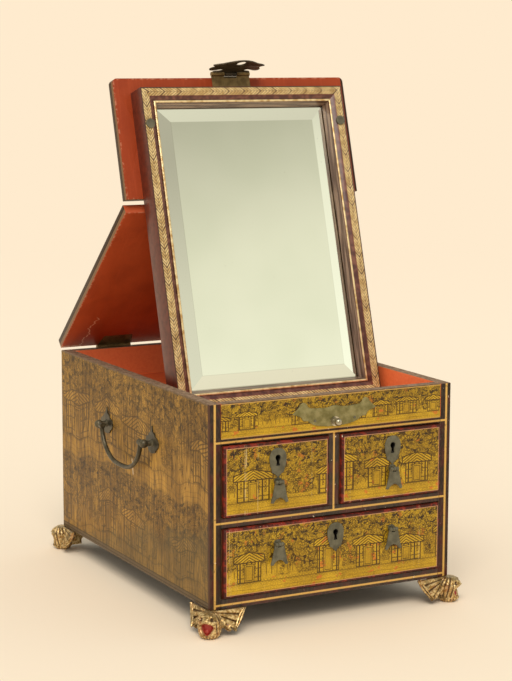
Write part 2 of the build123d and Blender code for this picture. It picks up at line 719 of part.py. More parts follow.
for name, mid_x, width, bottom, opening, pulls, eye_down in DRAWERS:
    front_bottom = bottom + FRONT_GAP
    front_height = opening - 2 * FRONT_GAP
    front_top = front_bottom + front_height
    key_z = front_top - SCUTCHEON_DOWN
    eye_z = front_top - eye_down
    with BuildPart() as drawer_front:
        front_depth = FRONT_PROUD + FRONT_INSET
        block(width, front_depth, front_height, mid_x, FACE_Y + front_depth / 2, front_bottom)
        chamfer(drawer_front.faces().sort_by(Axis.Y)[0].edges(), FRONT_BEVEL)
        keyhole(DRAWER_FACE, mid_x, key_z, 0, -KEY_DEEP, Mode.SUBTRACT)
    save(drawer_front.part, f"{name}_front")

    box_width = width + 2 * FRONT_SIDE_GAP - 2 * SIDE_GAP
    box_depth = BOX_BACK_Y - FRONT_BACK_Y
    box_mid_y = (BOX_BACK_Y + FRONT_BACK_Y) / 2
    box_bottom = bottom + RUN_GAP
    box_height = opening - RUN_GAP - BOX_RIM_DROP
    with BuildPart() as drawer_box:
        block(box_width, box_depth, box_height, mid_x, box_mid_y, box_bottom)
        with BuildSketch(Plane.XY.offset(box_bottom + BOX_FLOOR)):
            with Locations((mid_x, box_mid_y - BOX_WALL / 2)):
                Rectangle(box_width - 2 * BOX_WALL, box_depth - BOX_WALL)
        extrude(amount=box_height, mode=Mode.SUBTRACT)
    save(drawer_box.part, f"{name}_box")

    with BuildPart() as scutcheon:
        with BuildSketch(DRAWER_FACE):
            with Locations((mid_x, key_z)):
                Circle(SCUTCHEON_R)
            with BuildLine():
                Polyline(
                    (mid_x - SCUTCHEON_R * 0.62, key_z - SCUTCHEON_R * 0.7),
                    (mid_x + SCUTCHEON_R * 0.62, key_z - SCUTCHEON_R * 0.7),
                    (mid_x, key_z - SCUTCHEON_R - SCUTCHEON_POINT),
                    close=True,
                )
            make_face()
        extrude(amount=SCUTCHEON_T)
        keyhole(DRAWER_FACE, mid_x, key_z, 0, SCUTCHEON_T, Mode.SUBTRACT)
    save(scutcheon.part, f"{name}_escutcheon")

    eye_y = FACE_Y - EYE_OUT
    with BuildPart() as pull_eyes:
        for pull in pulls:
            eye_x = mid_x + pull
            with BuildSketch(DRAWER_FACE):
                with Locations((eye_x, eye_z)):
                    Circle(EYE_BASE_R)
            extrude(amount=EYE_BASE_T)
            block(EYE_LUG, EYE_OUT, 2 * EYE_LUG_R, eye_x, FACE_Y - EYE_OUT / 2, eye_z - EYE_LUG_R)
            rod(EYE_LUG_R, eye_x - EYE_LUG / 2, eye_x + EYE_LUG / 2, eye_y, eye_z)
            rod(EYE_PIN_R, eye_x - EYE_PIN_LONG / 2, eye_x + EYE_PIN_LONG / 2, eye_y, eye_z)
    save(pull_eyes.part, f"{name}_pull_eyes")

    for number, pull in enumerate(pulls, 1):
        eye_x = mid_x + pull
        cheek = EYE_LUG / 2 + KNUCKLE_GAP
        cheek_end = EYE_PIN_LONG / 2
        tail_plane = Plane(origin=(eye_x, eye_y - TAIL_T / 2, eye_z), x_dir=(1, 0, 0), z_dir=(0, 1, 0))
        with BuildPart() as pull_tail:
            with BuildSketch(tail_plane):
                with BuildLine():
                    Polyline(
                        (-TAIL_NECK / 2, EYE_LUG_R + KNUCKLE_GAP),
                        (TAIL_NECK / 2, EYE_LUG_R + KNUCKLE_GAP),
                        (TAIL_NECK / 2, EYE_LUG_R + TAIL_SHOULDER),
                        (TAIL_WIDE * 0.36, TAIL_LONG * 0.45),
                        (TAIL_WIDE * 0.30, TAIL_LONG * 0.62),
                        (TAIL_WIDE / 2, TAIL_LONG - TAIL_CORNER),
                        (TAIL_WIDE * 0.38, TAIL_LONG),
                        (0, TAIL_LONG - TAIL_NOTCH),
                        (-TAIL_WIDE * 0.38, TAIL_LONG),
                        (-TAIL_WIDE / 2, TAIL_LONG - TAIL_CORNER),
                        (-TAIL_WIDE * 0.30, TAIL_LONG * 0.62),
                        (-TAIL_WIDE * 0.36, TAIL_LONG * 0.45),
                        (-TAIL_NECK / 2, EYE_LUG_R + TAIL_SHOULDER),
                        close=True,
                    )
                make_face()
            extrude(amount=TAIL_T)
            for sign in (-1, 1):
                low = min(sign * cheek, sign * cheek_end)
                with BuildSketch(tail_plane):
                    with Locations((low + (cheek_end - cheek) / 2, (EYE_LUG_R + KNUCKLE_GAP) / 2)):
                        Rectangle(cheek_end - cheek, EYE_LUG_R + KNUCKLE_GAP)
                extrude(amount=TAIL_T)
                rod(TAIL_KNUCKLE_R, eye_x + low, eye_x + low + cheek_end - cheek, eye_y, eye_z)
            rod(
                EYE_PIN_R + EYE_FIT, eye_x - cheek_end, eye_x + cheek_end, eye_y, eye_z, Mode.SUBTRACT
            )
        tail_name = f"{name}_pull" if len(pulls) == 1 else f"{name}_pull_{number}"
        save(pull_tail.part, tail_name)

# Carrying handles on both sides: pairs of plates and posts, and the swinging bail
HANDLE_Z = CASE_BOTTOM + HANDLE_UP
BAIL_OUT = HANDLE_PLATE_T + POST_OUT
for side, label in ((-1, "left"), (1, "right")):
    side_x = side * WIDTH / 2
    wall = Plane(origin=(side_x, 0, HANDLE_Z), x_dir=(0, side, 0), z_dir=(side, 0, 0))
    axis_x = side_x + side * BAIL_OUT
    with BuildPart() as handle_plates:
        with BuildSketch(wall):
            with Locations((-HANDLE_SPAN / 2, 0), (HANDLE_SPAN / 2, 0)):
                Ellipse(HANDLE_PLATE_WIDE / 2, HANDLE_PLATE_TALL / 2 * 0.8)
                with Locations((0, HANDLE_PLATE_TALL * 0.32)):
                    Ellipse(HANDLE_PLATE_WIDE * 0.24, HANDLE_PLATE_TALL * 0.24)
                with Locations((0, HANDLE_PLATE_TALL / 2)):
                    Triangle(a=HANDLE_PLATE_WIDE * 0.2, b=HANDLE_SPIKE * 2, c=HANDLE_SPIKE * 2)
                with Locations((0, -HANDLE_PLATE_TALL * 0.3)):
                    Ellipse(HANDLE_PLATE_WIDE * 0.3, HANDLE_PLATE_TALL * 0.22)
        extrude(amount=HANDLE_PLATE_T)
    save(handle_plates.part, f"handle_plates_{label}")

    with BuildPart() as handle_posts:
        for end in (-1, 1):
            post_y = end * HANDLE_SPAN / 2
            post_axis = Plane(origin=(side_x, post_y, HANDLE_Z), x_dir=(side, 0, 0), z_dir=(0, 0, 1))
            with BuildSketch(post_axis):
                with BuildLine():
                    start = HANDLE_PLATE_T
                    neck = BAIL_OUT - POST_BALL_R * 0.8
                    Polyline(
                        (neck, POST_R),
                        (start + POST_FLARE, POST_R),
                        (start, POST_R + POST_FLARE),
                        (start, 0),
                        (BAIL_OUT + POST_BALL_R, 0),
                    )
                    ThreePointArc((BAIL_OUT + POST_BALL_R, 0), (BAIL_OUT, POST_BALL_R), (neck, POST_R))
                make_face()
            revolve(axis=Axis((side_x, post_y, HANDLE_Z), (1, 0, 0)))
            bore_plane = Plane(origin=(axis_x, post_y, HANDLE_Z), x_dir=(1, 0, 0), z_dir=(0, -end, 0))
            with BuildSketch(bore_plane):
                Circle(BAIL_PIN_R + BAIL_FIT)
            extrude(amount=POST_BALL_R + BAIL_GAP, mode=Mode.SUBTRACT)
    save(handle_posts.part, f"handle_posts_{label}")

    arm_y = HANDLE_SPAN / 2 - POST_BALL_R - BAIL_GAP - BAIL_BALL_R
    swing = Plane(origin=(axis_x, 0, HANDLE_Z), x_dir=(0, 1, 0), z_dir=(1, 0, 0))
    with BuildPart() as bail:
        with BuildLine(swing) as wire:
            Spline(
                (-arm_y, 0),
                (-arm_y * 0.86, -BAIL_DROP * 0.52),
                (-arm_y * 0.45, -BAIL_DROP * 0.93),
                (0, -BAIL_DROP),
                (arm_y * 0.45, -BAIL_DROP * 0.93),
                (arm_y * 0.86, -BAIL_DROP * 0.52),
                (arm_y, 0),
            )
        with BuildSketch(Plane(origin=wire.line @ 0, z_dir=wire.line % 0)):
            Circle(BAIL_WIRE_R)
        sweep(path=wire.line)
        for end in (-1, 1):
            pin_plane = Plane(origin=(axis_x, end * arm_y, HANDLE_Z), x_dir=(1, 0, 0), z_dir=(0, end, 0))
            with BuildSketch(pin_plane.offset(-BAIL_BALL_R)):
                Circle(BAIL_BALL_R)
            extrude(amount=2 * BAIL_BALL_R)
            with BuildSketch(pin_plane):
                Circle(BAIL_PIN_R)
            extrude(amount=BAIL_BALL_R + BAIL_GAP + BAIL_PIN_LONG)
    save(bail.part, f"bail_{label}")
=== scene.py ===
# %% [markdown]
# # A lacquered dressing box
#
# This lesson dresses a box for combs and powders. A folding lid props up a framed mirror, and
# three drawers sit below a shallow tray. The solid model is loaded first as a fixed frame, in
# metres. Every piece that is made here rides on one of its moving bodies.

import json
import math

import bpy
from mathutils import Matrix, Vector


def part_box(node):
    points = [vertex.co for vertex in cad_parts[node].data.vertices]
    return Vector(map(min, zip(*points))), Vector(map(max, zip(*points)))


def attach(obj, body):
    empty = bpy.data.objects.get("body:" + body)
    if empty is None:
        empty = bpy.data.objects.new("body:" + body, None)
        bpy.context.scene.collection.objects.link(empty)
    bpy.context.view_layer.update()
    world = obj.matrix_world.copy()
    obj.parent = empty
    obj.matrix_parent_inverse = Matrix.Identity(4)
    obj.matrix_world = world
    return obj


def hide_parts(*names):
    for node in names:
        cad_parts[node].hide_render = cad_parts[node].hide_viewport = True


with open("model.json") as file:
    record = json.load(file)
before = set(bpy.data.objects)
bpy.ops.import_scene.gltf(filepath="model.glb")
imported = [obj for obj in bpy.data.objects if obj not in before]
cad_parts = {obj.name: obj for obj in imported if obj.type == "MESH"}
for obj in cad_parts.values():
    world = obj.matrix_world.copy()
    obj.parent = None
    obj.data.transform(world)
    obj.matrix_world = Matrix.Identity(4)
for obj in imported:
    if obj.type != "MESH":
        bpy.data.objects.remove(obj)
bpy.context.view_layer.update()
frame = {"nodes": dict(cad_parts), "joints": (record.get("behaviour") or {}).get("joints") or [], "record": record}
nodes = frame["nodes"]
bodies = frame["record"]["behaviour"]["bodies"]
slots = {part["node"]: part["material_slot"] for part in frame["record"]["subparts"]}
body_of = {node: body for body, members in bodies.items() for node in members}

# %% [markdown]
# ## The sizes that the finishes need
#
# Painted borders and pictures follow the boards, so their places are read from the frame's own
# boxes. All patterns are then worked out in millimetres.

# %% Read the boards' places
MM = 0.001


def span(node):
    """A node's lowest and highest corner, in millimetres."""
    low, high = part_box(node)
    return low / MM, high / MM


side_low, side_high = span("case_side_right")
HALF_WIDTH = side_high.x
CASE_FRONT, CASE_BACK = side_low.y, side_high.y
CASE_LOW, CASE_TOP = side_low.z, side_high.z
WALL = side_high.x - side_low.x
TRAY_TOP = span("tray_floor")[1].z
joints = {joint["name"]: joint for joint in frame["joints"]}
rear_pin = Vector(joints["lid_rear_hinge"]["pos_m"]) / MM
mid_pin = Vector(joints["lid_front_hinge"]["pos_m"]) / MM
hasp_pin = Vector(joints["hasp_hinge"]["pos_m"]) / MM
print("case:", HALF_WIDTH * 2, CASE_BACK - CASE_FRONT, CASE_TOP - CASE_LOW)

# %% [markdown]
# ## A short way to write shader maths
#
# A material is a graph of nodes, but a formula is easier to read as a line of Python. `Wire`
# wraps one output of a node. Adding or multiplying wires adds the Math node that does it.
# `Paint.node` makes every other node: its settings are set first, then its inputs.

# %% Wrap sockets so that formulas make nodes
class Wire:
    """One output of a shader node, in the material that is being painted."""

    def __init__(self, paint, socket):
        self.paint = paint
        self.socket = socket

    def maths(self, operation, *others):
        return self.paint.node("Math", {"operation": operation}, [self, *others])

    def __add__(self, other):
        return self.maths("ADD", other)

    def __sub__(self, other):
        return self.maths("SUBTRACT", other)

    def __mul__(self, other):
        return self.maths("MULTIPLY", other)

    def __truediv__(self, other):
        return self.maths("DIVIDE", other)

    def __radd__(self, other):
        return self.paint.node("Math", {"operation": "ADD"}, [other, self])

    def __rsub__(self, other):
        return self.paint.node("Math", {"operation": "SUBTRACT"}, [other, self])

    def __rmul__(self, other):
        return self.paint.node("Math", {"operation": "MULTIPLY"}, [other, self])

    def __neg__(self):
        return self * -1

    def size(self):
        return self.maths("ABSOLUTE")

    def floor(self):
        return self.maths("FLOOR")

    def part(self):
        return self.maths("FRACT")

    def least(self, other):
        return self.maths("MINIMUM", other)

    def most(self, other):
        return self.maths("MAXIMUM", other)

    def rise(self, low, high):
        """0 below low, 1 above high, and a smooth way between."""
        return self.paint.node(
            "MapRange", {"interpolation_type": "SMOOTHSTEP"}, {0: self, 1: low, 2: high}
        )

    def fall(self, low, high):
        """1 below low, 0 above high."""
        return 1 - self.rise(low, high)

    def line(self, place, half):
        """1 within a half width of a place, soft at its edges."""
        return (self - place).size().fall(half * 0.6, half * 1.4)


class Paint:
    """A material whose nodes are made by formulas."""

    def __init__(self, name):
        self.material = bpy.data.materials.new(name)
        self.material.use_nodes = True
        self.tree = self.material.node_tree
        self.shader = self.tree.nodes["Principled BSDF"]
        place = self.node("TexCoord", out=3)
        self.place = self.node("VectorMath", {"operation": "SCALE"}, {0: place, 3: 1 / MM})
        self.x = self.node("SeparateXYZ", None, [self.place], 0)
        self.y = Wire(self, self.x.socket.node.outputs[1])
        self.z = Wire(self, self.x.socket.node.outputs[2])

    def node(self, kind, settings=None, values=None, out=0):
        """Adds a node: its settings first, then its inputs by order, number or name."""
        made = self.tree.nodes.new("ShaderNode" + kind)
        for key, value in (settings or {}).items():
            if key == "stops":
                while len(made.color_ramp.elements) < len(value):
                    made.color_ramp.elements.new(1.0)
                for element, (place, colour) in zip(made.color_ramp.elements, value):
                    element.position = place
                    element.color = (*colour, 1.0)
            else:
                setattr(made, key, value)
        pairs = values.items() if isinstance(values, dict) else enumerate(values or ())
        for key, value in pairs:
            if isinstance(value, Wire):
                self.tree.links.new(value.socket, made.inputs[key])
            else:
                made.inputs[key].default_value = value
        return Wire(self, made.outputs[out])

    def vector(self, x, y, z=0.0):
        return self.node("CombineXYZ", None, [x, y, z])

    def noise(self, place, scale, detail=2.0, rough=0.5):
        """Cloudy noise from 0 to 1; scale is in lumps for each millimetre."""
        return self.node("TexNoise", None, {0: place, 2: scale, 3: detail, 4: rough})

    def cells(self, place, scale, feature="F1"):
        """Distance to the nearest of many scattered points."""
        return self.node("TexVoronoi", {"feature": feature}, {0: place, 2: scale})

    def chance(self, number):
        """One random number for each whole number."""
        return self.node("TexWhiteNoise", {"noise_dimensions": "1D"}, {1: number})

    def mix(self, factor, first, second):
        """From one colour to another."""
        first = (*first, 1.0) if isinstance(first, tuple) else first
        second = (*second, 1.0) if isinstance(second, tuple) else second
        return self.node("Mix", {"data_type": "RGBA"}, {0: factor, 6: first, 7: second}, 2)

    def finish(self, colour, rough, metal=None, bump=None, depth=0.3, strength=0.6, **fixed):
        """Wires the results to the shader, and sets what is the same all over."""
        links = {"Base Color": colour, "Roughness": rough, "Metallic": metal}
        if bump is not None:
            links["Normal"] = self.node("Bump", None, {0: strength, 1: depth * MM, "Height": bump})
        for name, value in links.items():
            if isinstance(value, Wire):
                self.tree.links.new(value.socket, self.shader.inputs[name])
            elif value is not None:
                self.shader.inputs[name].default_value = value
        for name, value in fixed.items():
            self.shader.inputs[name.replace("_", " ")].default_value = value
        return self.material


def srgb(red, green, blue):
    """A colour as it is seen, 0 to 255, turned into the linear numbers that a shader takes."""
    shares = (red / 255, green / 255, blue / 255)
    return tuple(c / 12.92 if c <= 0.04045 else ((c + 0.055) / 1.055) ** 2.4 for c in shares)


print("shader helpers ready")

# %% [markdown]
# ## Colours of the box
#
# Black lacquer is a very dark warm brown, because it is never quite black in soft light. Gold
# comes in a bright and a worn tone. The lacquer inside is vermilion.

# %% Name the colours
BLACK = srgb(40, 27, 20)
WORN_BLACK = srgb(78, 56, 38)
GOLD = srgb(214, 172, 40)
DULL_GOLD = srgb(160, 122, 24)
INK = srgb(50, 28, 12)
LINE_GOLD = srgb(214, 168, 86)
OXBLOOD = srgb(84, 30, 24)
ORANGE = srgb(206, 92, 40)
VERMILION = srgb(178, 66, 34)
DEEP_RED = srgb(136, 44, 22)
BARE_WOOD = srgb(150, 124, 98)
CHIP = srgb(232, 216, 190)
CREAM = srgb(255, 235, 206)
print("gold is", [round(c, 3) for c in GOLD])

# %% [markdown]
# ## The gold pictures
#
# Boxes like this are covered with gardens and pavilions. The ground is nearly all gold, and the
# drawing is done in thin brown lines on it, so the black lacquer shows only in gaps between
# leaves. This design is a general one: clumps of leaves above, a row of halls with hatched
# roofs, posts and screens, and a bare gold bank with a railing below.

# %% Draw leaves and halls
def foliage(paint, u, v, size):
    """Leaf outlines and veins, and the dark gaps between clumps of leaves."""
    sway = paint.noise(paint.vector(u, v), 0.10 / size, 2.0)
    flat = paint.vector(u + sway * 6, v * 1.25 + sway * 9)
    blades = paint.cells(flat, 0.36 / size, "DISTANCE_TO_EDGE").fall(0.06, 0.17)
    clump = paint.noise(flat, 0.11 / size, 3.0).rise(0.44, 0.54)
    veins = paint.noise(flat, 0.95 / size, 1.0).rise(0.50, 0.56)
    gaps = paint.noise(flat, 0.15 / size, 5.0, 0.75).rise(0.53, 0.57)
    branch = (paint.noise(flat, 0.045 / size, 2.0) - 0.5).size().fall(0.006, 0.012)
    drawn = (blades * 0.85).most(veins * 0.8) * (clump * 0.45 + 0.55)
    return drawn.most(branch), gaps


def stripes(value, spacing, share):
    """Thin lines at a spacing: share is the half width as a part of the spacing."""
    return (value / spacing).part().line(0.5, share)


def halls(paint, u, v, height, pitch, seed, size):
    """A row of garden halls: where they are, their lines, and how deep in shade they lie."""
    cell = (u / pitch).floor()
    across = u - (cell + 0.5) * pitch - (paint.chance(cell + (seed + 11)) - 0.5) * (pitch * 0.2)
    side = across.size()
    there = paint.chance(cell + (seed + 57)).rise(0.18, 0.20)
    wide = pitch * 0.22 + paint.chance(cell + seed) * (pitch * 0.20)
    top = height * 0.44 + paint.chance(cell + (seed + 31)) * (height * 0.20)
    base = height * 0.20
    body = (wide - side).least(top - v).least(v - base)
    eaves = wide + pitch * 0.09 - side
    roof = eaves.least(v - top).least(top + height * 0.15 - v - side * 0.22)
    posts = stripes(side + 1.0, 7.5 * size, 0.11)
    shade = (side / (7.5 * size)).part().rise(0.62, 0.68) * (v - base).rise(height * 0.1, height * 0.12)
    beams = stripes(v - base, 9.0 * size, 0.06)
    lattice = stripes(across + v, 3.4 * size, 0.15).most(stripes(across - v, 3.4 * size, 0.15))
    tiles = stripes(v + side * 0.62, 2.9 * size, 0.17)
    door = (side * -1 + 5.4 * size).least(v - base).least(top - 2.0 * size - v)
    drawn = body.rise(0, 0.2) * posts.most(beams * 0.8).most(shade * lattice * 0.8)
    drawn = drawn.most(roof.rise(0, 0.2) * tiles)
    drawn = drawn * door.fall(0, 0.2)
    drawn = drawn.most(door.line(0, 0.35 * size)).most(door.line(1.7 * size, 0.35 * size))
    drawn = drawn.most(body.line(0, 0.5 * size)).most(roof.line(0, 0.6 * size))
    shade = shade.most(door.rise(2.0 * size, 2.4 * size) * 1.4) * body.rise(0, 0.3)
    return body.most(roof).rise(-0.1, 0.2) * there, drawn * there, shade * there


def garden(paint, u, v, height, pitch, seed, size=1.0):
    """The whole picture: brown lines, black gaps and shade, each from 0 to 1."""
    where, drawn, shade = halls(paint, u, v, height, pitch, seed, size)
    leaves, gaps = foliage(paint, u + seed * 31, v, size)
    wander = paint.noise(paint.vector(u, seed), 0.03 / size, 2.0) * (height * 0.30)
    trees = (v + wander).rise(height * 0.52, height * 0.60)
    low_trees = paint.noise(paint.vector(u, v * 0.5, seed), 0.05 / size, 2.0).rise(0.51, 0.55)
    trees = trees.most(low_trees * v.rise(height * 0.22, height * 0.26)) * (1 - where)
    screen = stripes(u, 6.0 * size, 0.07) * (1 - where) * (1 - trees) * v.rise(
        height * 0.26, height * 0.30
    )
    rail = stripes(u + v, 3.6 * size, 0.12).most(stripes(u - v, 3.6 * size, 0.12))
    rail = (rail * 0.7).most(stripes(v, height * 0.075, 0.10)) * v.line(height * 0.19, height * 0.034)
    bank = stripes(v + paint.noise(paint.vector(u * 0.4, v), 0.1 / size) * 3, 3.3 * size, 0.10)
    bank = bank * v.fall(height * 0.12, height * 0.16) * 0.35
    lines = (leaves * trees).most(drawn).most(rail * 0.6).most(bank).most(screen * 0.8)
    black = gaps * trees * (v + wander * 0.5).rise(height * 0.62, height * 0.75)
    return lines, black, (shade + trees * 0.30).least(1.0)


print("picture helpers ready")

# %% [markdown]
# ## Gold over black lacquer
#
# The gold is thin, so it is never one flat tone. Clouds of noise move it between bright and
# dull, rubbing takes it off in places, and here and there a touch of orange marks a lantern or
# a blossom. The bump follows the drawing, because the gold stands a little proud.

# %% Colour a picture
def gilded(paint, picture, bright=GOLD, dull=DULL_GOLD, depth=0.92, wear=0.25):
    """The colour of a gold picture, and how thick the gold lies."""
    lines, black, shade = picture
    cloud = paint.noise(paint.place, 0.035, 3.0).rise(0.35, 0.65)
    fine = paint.noise(paint.place, 0.75, 3.0).rise(0.34, 0.66)
    spot = paint.noise(paint.place, 0.10, 2.0).rise(0.645, 0.67) * (1 - lines)
    rubbed = paint.noise(paint.place, 0.12, 4.0, 0.7).rise(0.52, 0.70) * wear
    tone = paint.mix((cloud * 0.4 + fine * 0.6) * (1 - shade * 0.45), dull, bright)
    tone = paint.mix(spot * 0.6, tone, ORANGE)
    tone = paint.mix(lines * depth, tone, INK)
    tone = paint.mix((black * depth).most(rubbed), tone, BLACK)
    return tone, 1 - (lines * 0.7).most(black)


def boxed(u, v, low_u, high_u, low_v, high_v):
    """How far a point lies inside a rectangle, in millimetres; less than 0 outside."""
    return (u - low_u).least(high_u - u).least(v - low_v).least(high_v - v)


print("gilding ready")

# %% [markdown]
# ## The front of the case
#
# The frame round the drawers is black lacquer with gold lines. Each line runs down the middle
# of a rail or stile. The panel over the drawers has a picture inside a thin border.

# %% Paint the front frame
FRONT_LINE = HALF_WIDTH - 5.5
BASE_LINE = CASE_LOW + 4.0
shelf_low, shelf_high = span("drawer_shelf")
MID_LINE = (shelf_low.z + shelf_high.z) / 2
PANEL_LOW = span("tray_front")[0].z
TOP_LINE = PANEL_LOW + 2.6
ART_LOW, ART_HIGH, ART_HALF = PANEL_LOW + 6.6, CASE_TOP - 1.4, HALF_WIDTH - 10.5


def front_frame(paint):
    """Black lacquer with gold lines and a few pale chips."""
    lines = paint.x.size().line(FRONT_LINE, 1.15)
    inside = paint.x.size().fall(FRONT_LINE, FRONT_LINE + 0.6)
    for height in (BASE_LINE, MID_LINE, TOP_LINE):
        lines = lines.most(paint.z.line(height, 1.0) * inside)
    between = (paint.z - MID_LINE).rise(0, 0.4) * (TOP_LINE - paint.z).rise(0, 0.4)
    lines = lines.most(paint.x.line(0, 1.0) * between)
    patch = paint.noise(paint.place, 0.07, 3.0).rise(0.42, 0.66)
    streak = paint.noise(paint.vector(paint.x, 0.0, paint.z * 0.3), 0.5, 3.0).rise(0.4, 0.7)
    chips = paint.noise(paint.place, 0.28, 3.0, 0.6).rise(0.715, 0.73)
    ground = paint.mix(patch * 0.7, BLACK, OXBLOOD)
    ground = paint.mix(streak * 0.35, ground, srgb(92, 76, 52))
    worn = paint.noise(paint.place, 0.25, 3.0).rise(0.60, 0.72) * 0.6
    colour = paint.mix(lines * (1 - worn), ground, LINE_GOLD)
    return paint.mix(chips, colour, CHIP)


def side_picture(paint, u, v, tall, seed):
    """Two rows of gardens in dim gold, streaked by years of handling, and darker towards the bottom and one end."""
    flow = paint.noise(paint.vector(u, v * 0.3, seed), 0.05, 2.0) * 8
    streak = paint.noise(paint.vector(u + flow, v * 0.05, seed), 0.45, 4.0, 0.6)
    trunks = paint.noise(paint.vector(u + flow, v * 0.09, seed + 3), 0.22, 2.0)
    broad = paint.noise(paint.vector(u, v * 0.4, seed), 0.035, 3.0)
    row = tall * 0.47
    hill = v + (paint.noise(paint.vector(u, seed), 0.010, 2.0) - 0.5) * 56
    upper = (hill - row).rise(0, 0.5)
    near = garden(paint, u + 500, hill, row, 66.0, seed, 1.3)
    far = garden(paint, u + 900, hill - row, tall - row, 84.0, seed + 2, 1.5)
    lines, black, shade = (a * (1 - upper) + b * upper for a, b in zip(near, far))
    tone = paint.mix(broad.rise(0.36, 0.64), srgb(136, 96, 34), srgb(184, 136, 54))
    tone = paint.mix(streak.rise(0.40, 0.66) * 0.40, tone, srgb(206, 158, 70))
    tone = paint.mix(streak.fall(0.36, 0.50) * 0.45, tone, srgb(92, 68, 30))
    tone = paint.mix((trunks - 0.5).size().fall(0.012, 0.03) * 0.65, tone, srgb(52, 40, 22))
    tone = paint.mix(shade * 0.25, tone, srgb(104, 76, 30))
    tone = paint.mix(lines * 0.70, tone, srgb(58, 40, 18))
    tone = paint.mix(black * 0.70, tone, srgb(50, 38, 20))
    # Darker towards the bottom and towards low u, which is the front on a side board and the left on the back, in loose
    # patches.
    dim = (broad * 70 - v - u * 0.24 + 14).rise(0, 24) * 0.45
    return paint.mix(dim, tone, srgb(88, 80, 52)), streak


def case_material(name, faces):
    """Lacquer for a case board: faces tells which way its outer face looks."""
    paint = Paint(name)
    normal = paint.node("TexCoord", out=1)
    across = paint.node("SeparateXYZ", None, [normal], 0)
    along = Wire(paint, across.socket.node.outputs[1])
    up = Wire(paint, across.socket.node.outputs[2])
    tall = CASE_TOP - CASE_LOW
    v = paint.z - CASE_LOW
    edges = paint.noise(paint.place, 0.25, 4.0, 0.7)
    if faces == "front":
        art = boxed(paint.x, paint.z, -ART_HALF, ART_HALF, ART_LOW, ART_HIGH)
        picture = garden(paint, paint.x + 300, paint.z - ART_LOW, 36.0, 31.0, 5.0, 0.8)
        painted, gold = gilded(paint, picture)
        painted = paint.mix(art.rise(0, 0.3), front_frame(paint), painted)
        painted = paint.mix(art.line(-0.2, 0.45) * 0.8, painted, LINE_GOLD)
    else:
        u = paint.y if faces == "side" else paint.x
        reach = CASE_BACK if faces == "side" else HALF_WIDTH
        painted, gold = side_picture(paint, u, v, tall, 3.0)
        inside = boxed(u, v, -reach, reach, 0, tall)
        low_edge = v.fall(6.0, 7.0)
        painted = paint.mix(low_edge * 0.8, painted, srgb(98, 82, 58))
        painted = paint.mix(v.line(6.6, 0.55).most(v.line(3.0, 0.5)) * 0.75, painted, srgb(48, 34, 22))
        painted = paint.mix(inside.fall(0.8, 2.6) * edges.rise(0.35, 0.55), painted, srgb(112, 92, 70))
        if name.endswith("left"):
            scratch = ((u + 7) - (v - 110) * 0.16).size().fall(0.5, 0.9)
            painted = paint.mix(scratch * boxed(u, v, -40, 40, 100, 119).rise(0, 2), painted, CHIP)
    inner = paint.mix(edges.rise(0.42, 0.62) * 0.3, srgb(228, 114, 62), srgb(208, 90, 48))
    bare = paint.mix(edges, srgb(96, 66, 40), srgb(132, 96, 62))
    inner = paint.mix(paint.z.fall(TRAY_TOP - 1.0, TRAY_TOP - 0.5), inner, bare)
    plain = paint.mix(edges.rise(0.35, 0.65), srgb(50, 36, 24), srgb(86, 68, 44))
    if faces == "side":
        outward = (across * (1 if name.endswith("right") else -1)).rise(0.3, 0.6)
        front_band = paint.y.fall(CASE_FRONT + 4.2, CASE_FRONT + 4.8)
        painted = paint.mix(front_band * 0.85, painted, srgb(74, 38, 26))
        colour = paint.mix(outward, inner, painted)
        colour = paint.mix(along.rise(0.6, 0.8), colour, plain)
        colour = paint.mix((along * -1).rise(0.6, 0.8), colour, front_frame(paint))
    else:
        outward = (along * (-1 if faces == "front" else 1)).rise(0.3, 0.6)
        colour = paint.mix(outward, inner, painted)
    worn_top = paint.mix(edges.rise(0.38, 0.62), srgb(112, 88, 66), BARE_WOOD)
    colour = paint.mix(up.rise(0.6, 0.8), colour, worn_top)
    colour = paint.mix((up * -1).rise(0.6, 0.8), colour, plain)
    rough = paint.noise(paint.place, 0.2, 2.0) * 0.22 + 0.40 + up.rise(0.6, 0.8) * 0.25
    height = edges * 0.4 + gold * 0.5
    return paint.finish(colour, rough, bump=height, depth=0.12, Specular_IOR_Level=0.3)


case_materials = {
    "case_side_left": case_material("lacquer_side_left", "side"),
    "case_side_right": case_material("lacquer_side_right", "side"),
    "case_back": case_material("lacquer_back", "back"),
    "tray_front": case_material("lacquer_front", "front"),
}
print("case finishes:", len(case_materials))

# %% [markdown]
# ## Plain lacquered boards and red lacquer
#
# The board between the drawers and the divider show only their front edges, with the gold lines
# of the frame. The tray and the inside of the lid are vermilion, with faint brush marks and
# darker patches where dust has settled.

# %% Paint the inner boards and the tray
def frame_board(name):
    """Black lacquer on the front edge with the frame's gold lines, plain wood behind it."""
    paint = Paint(name)
    grain = paint.noise(paint.vector(paint.x * 0.6, paint.y * 0.03, paint.z), 0.6, 4.0)
    front = paint.y.fall(CASE_FRONT + 0.5, CASE_FRONT + 1.5)
    wood = paint.mix(grain, srgb(120, 84, 52), srgb(156, 116, 76))
    colour = paint.mix(front, wood, front_frame(paint))
    colour = paint.mix(paint.z.fall(CASE_LOW + 0.6, CASE_LOW + 1.0) * (1 - front), colour, BLACK)
    return paint.finish(colour, 0.62 - front * 0.25, bump=grain, depth=0.15)


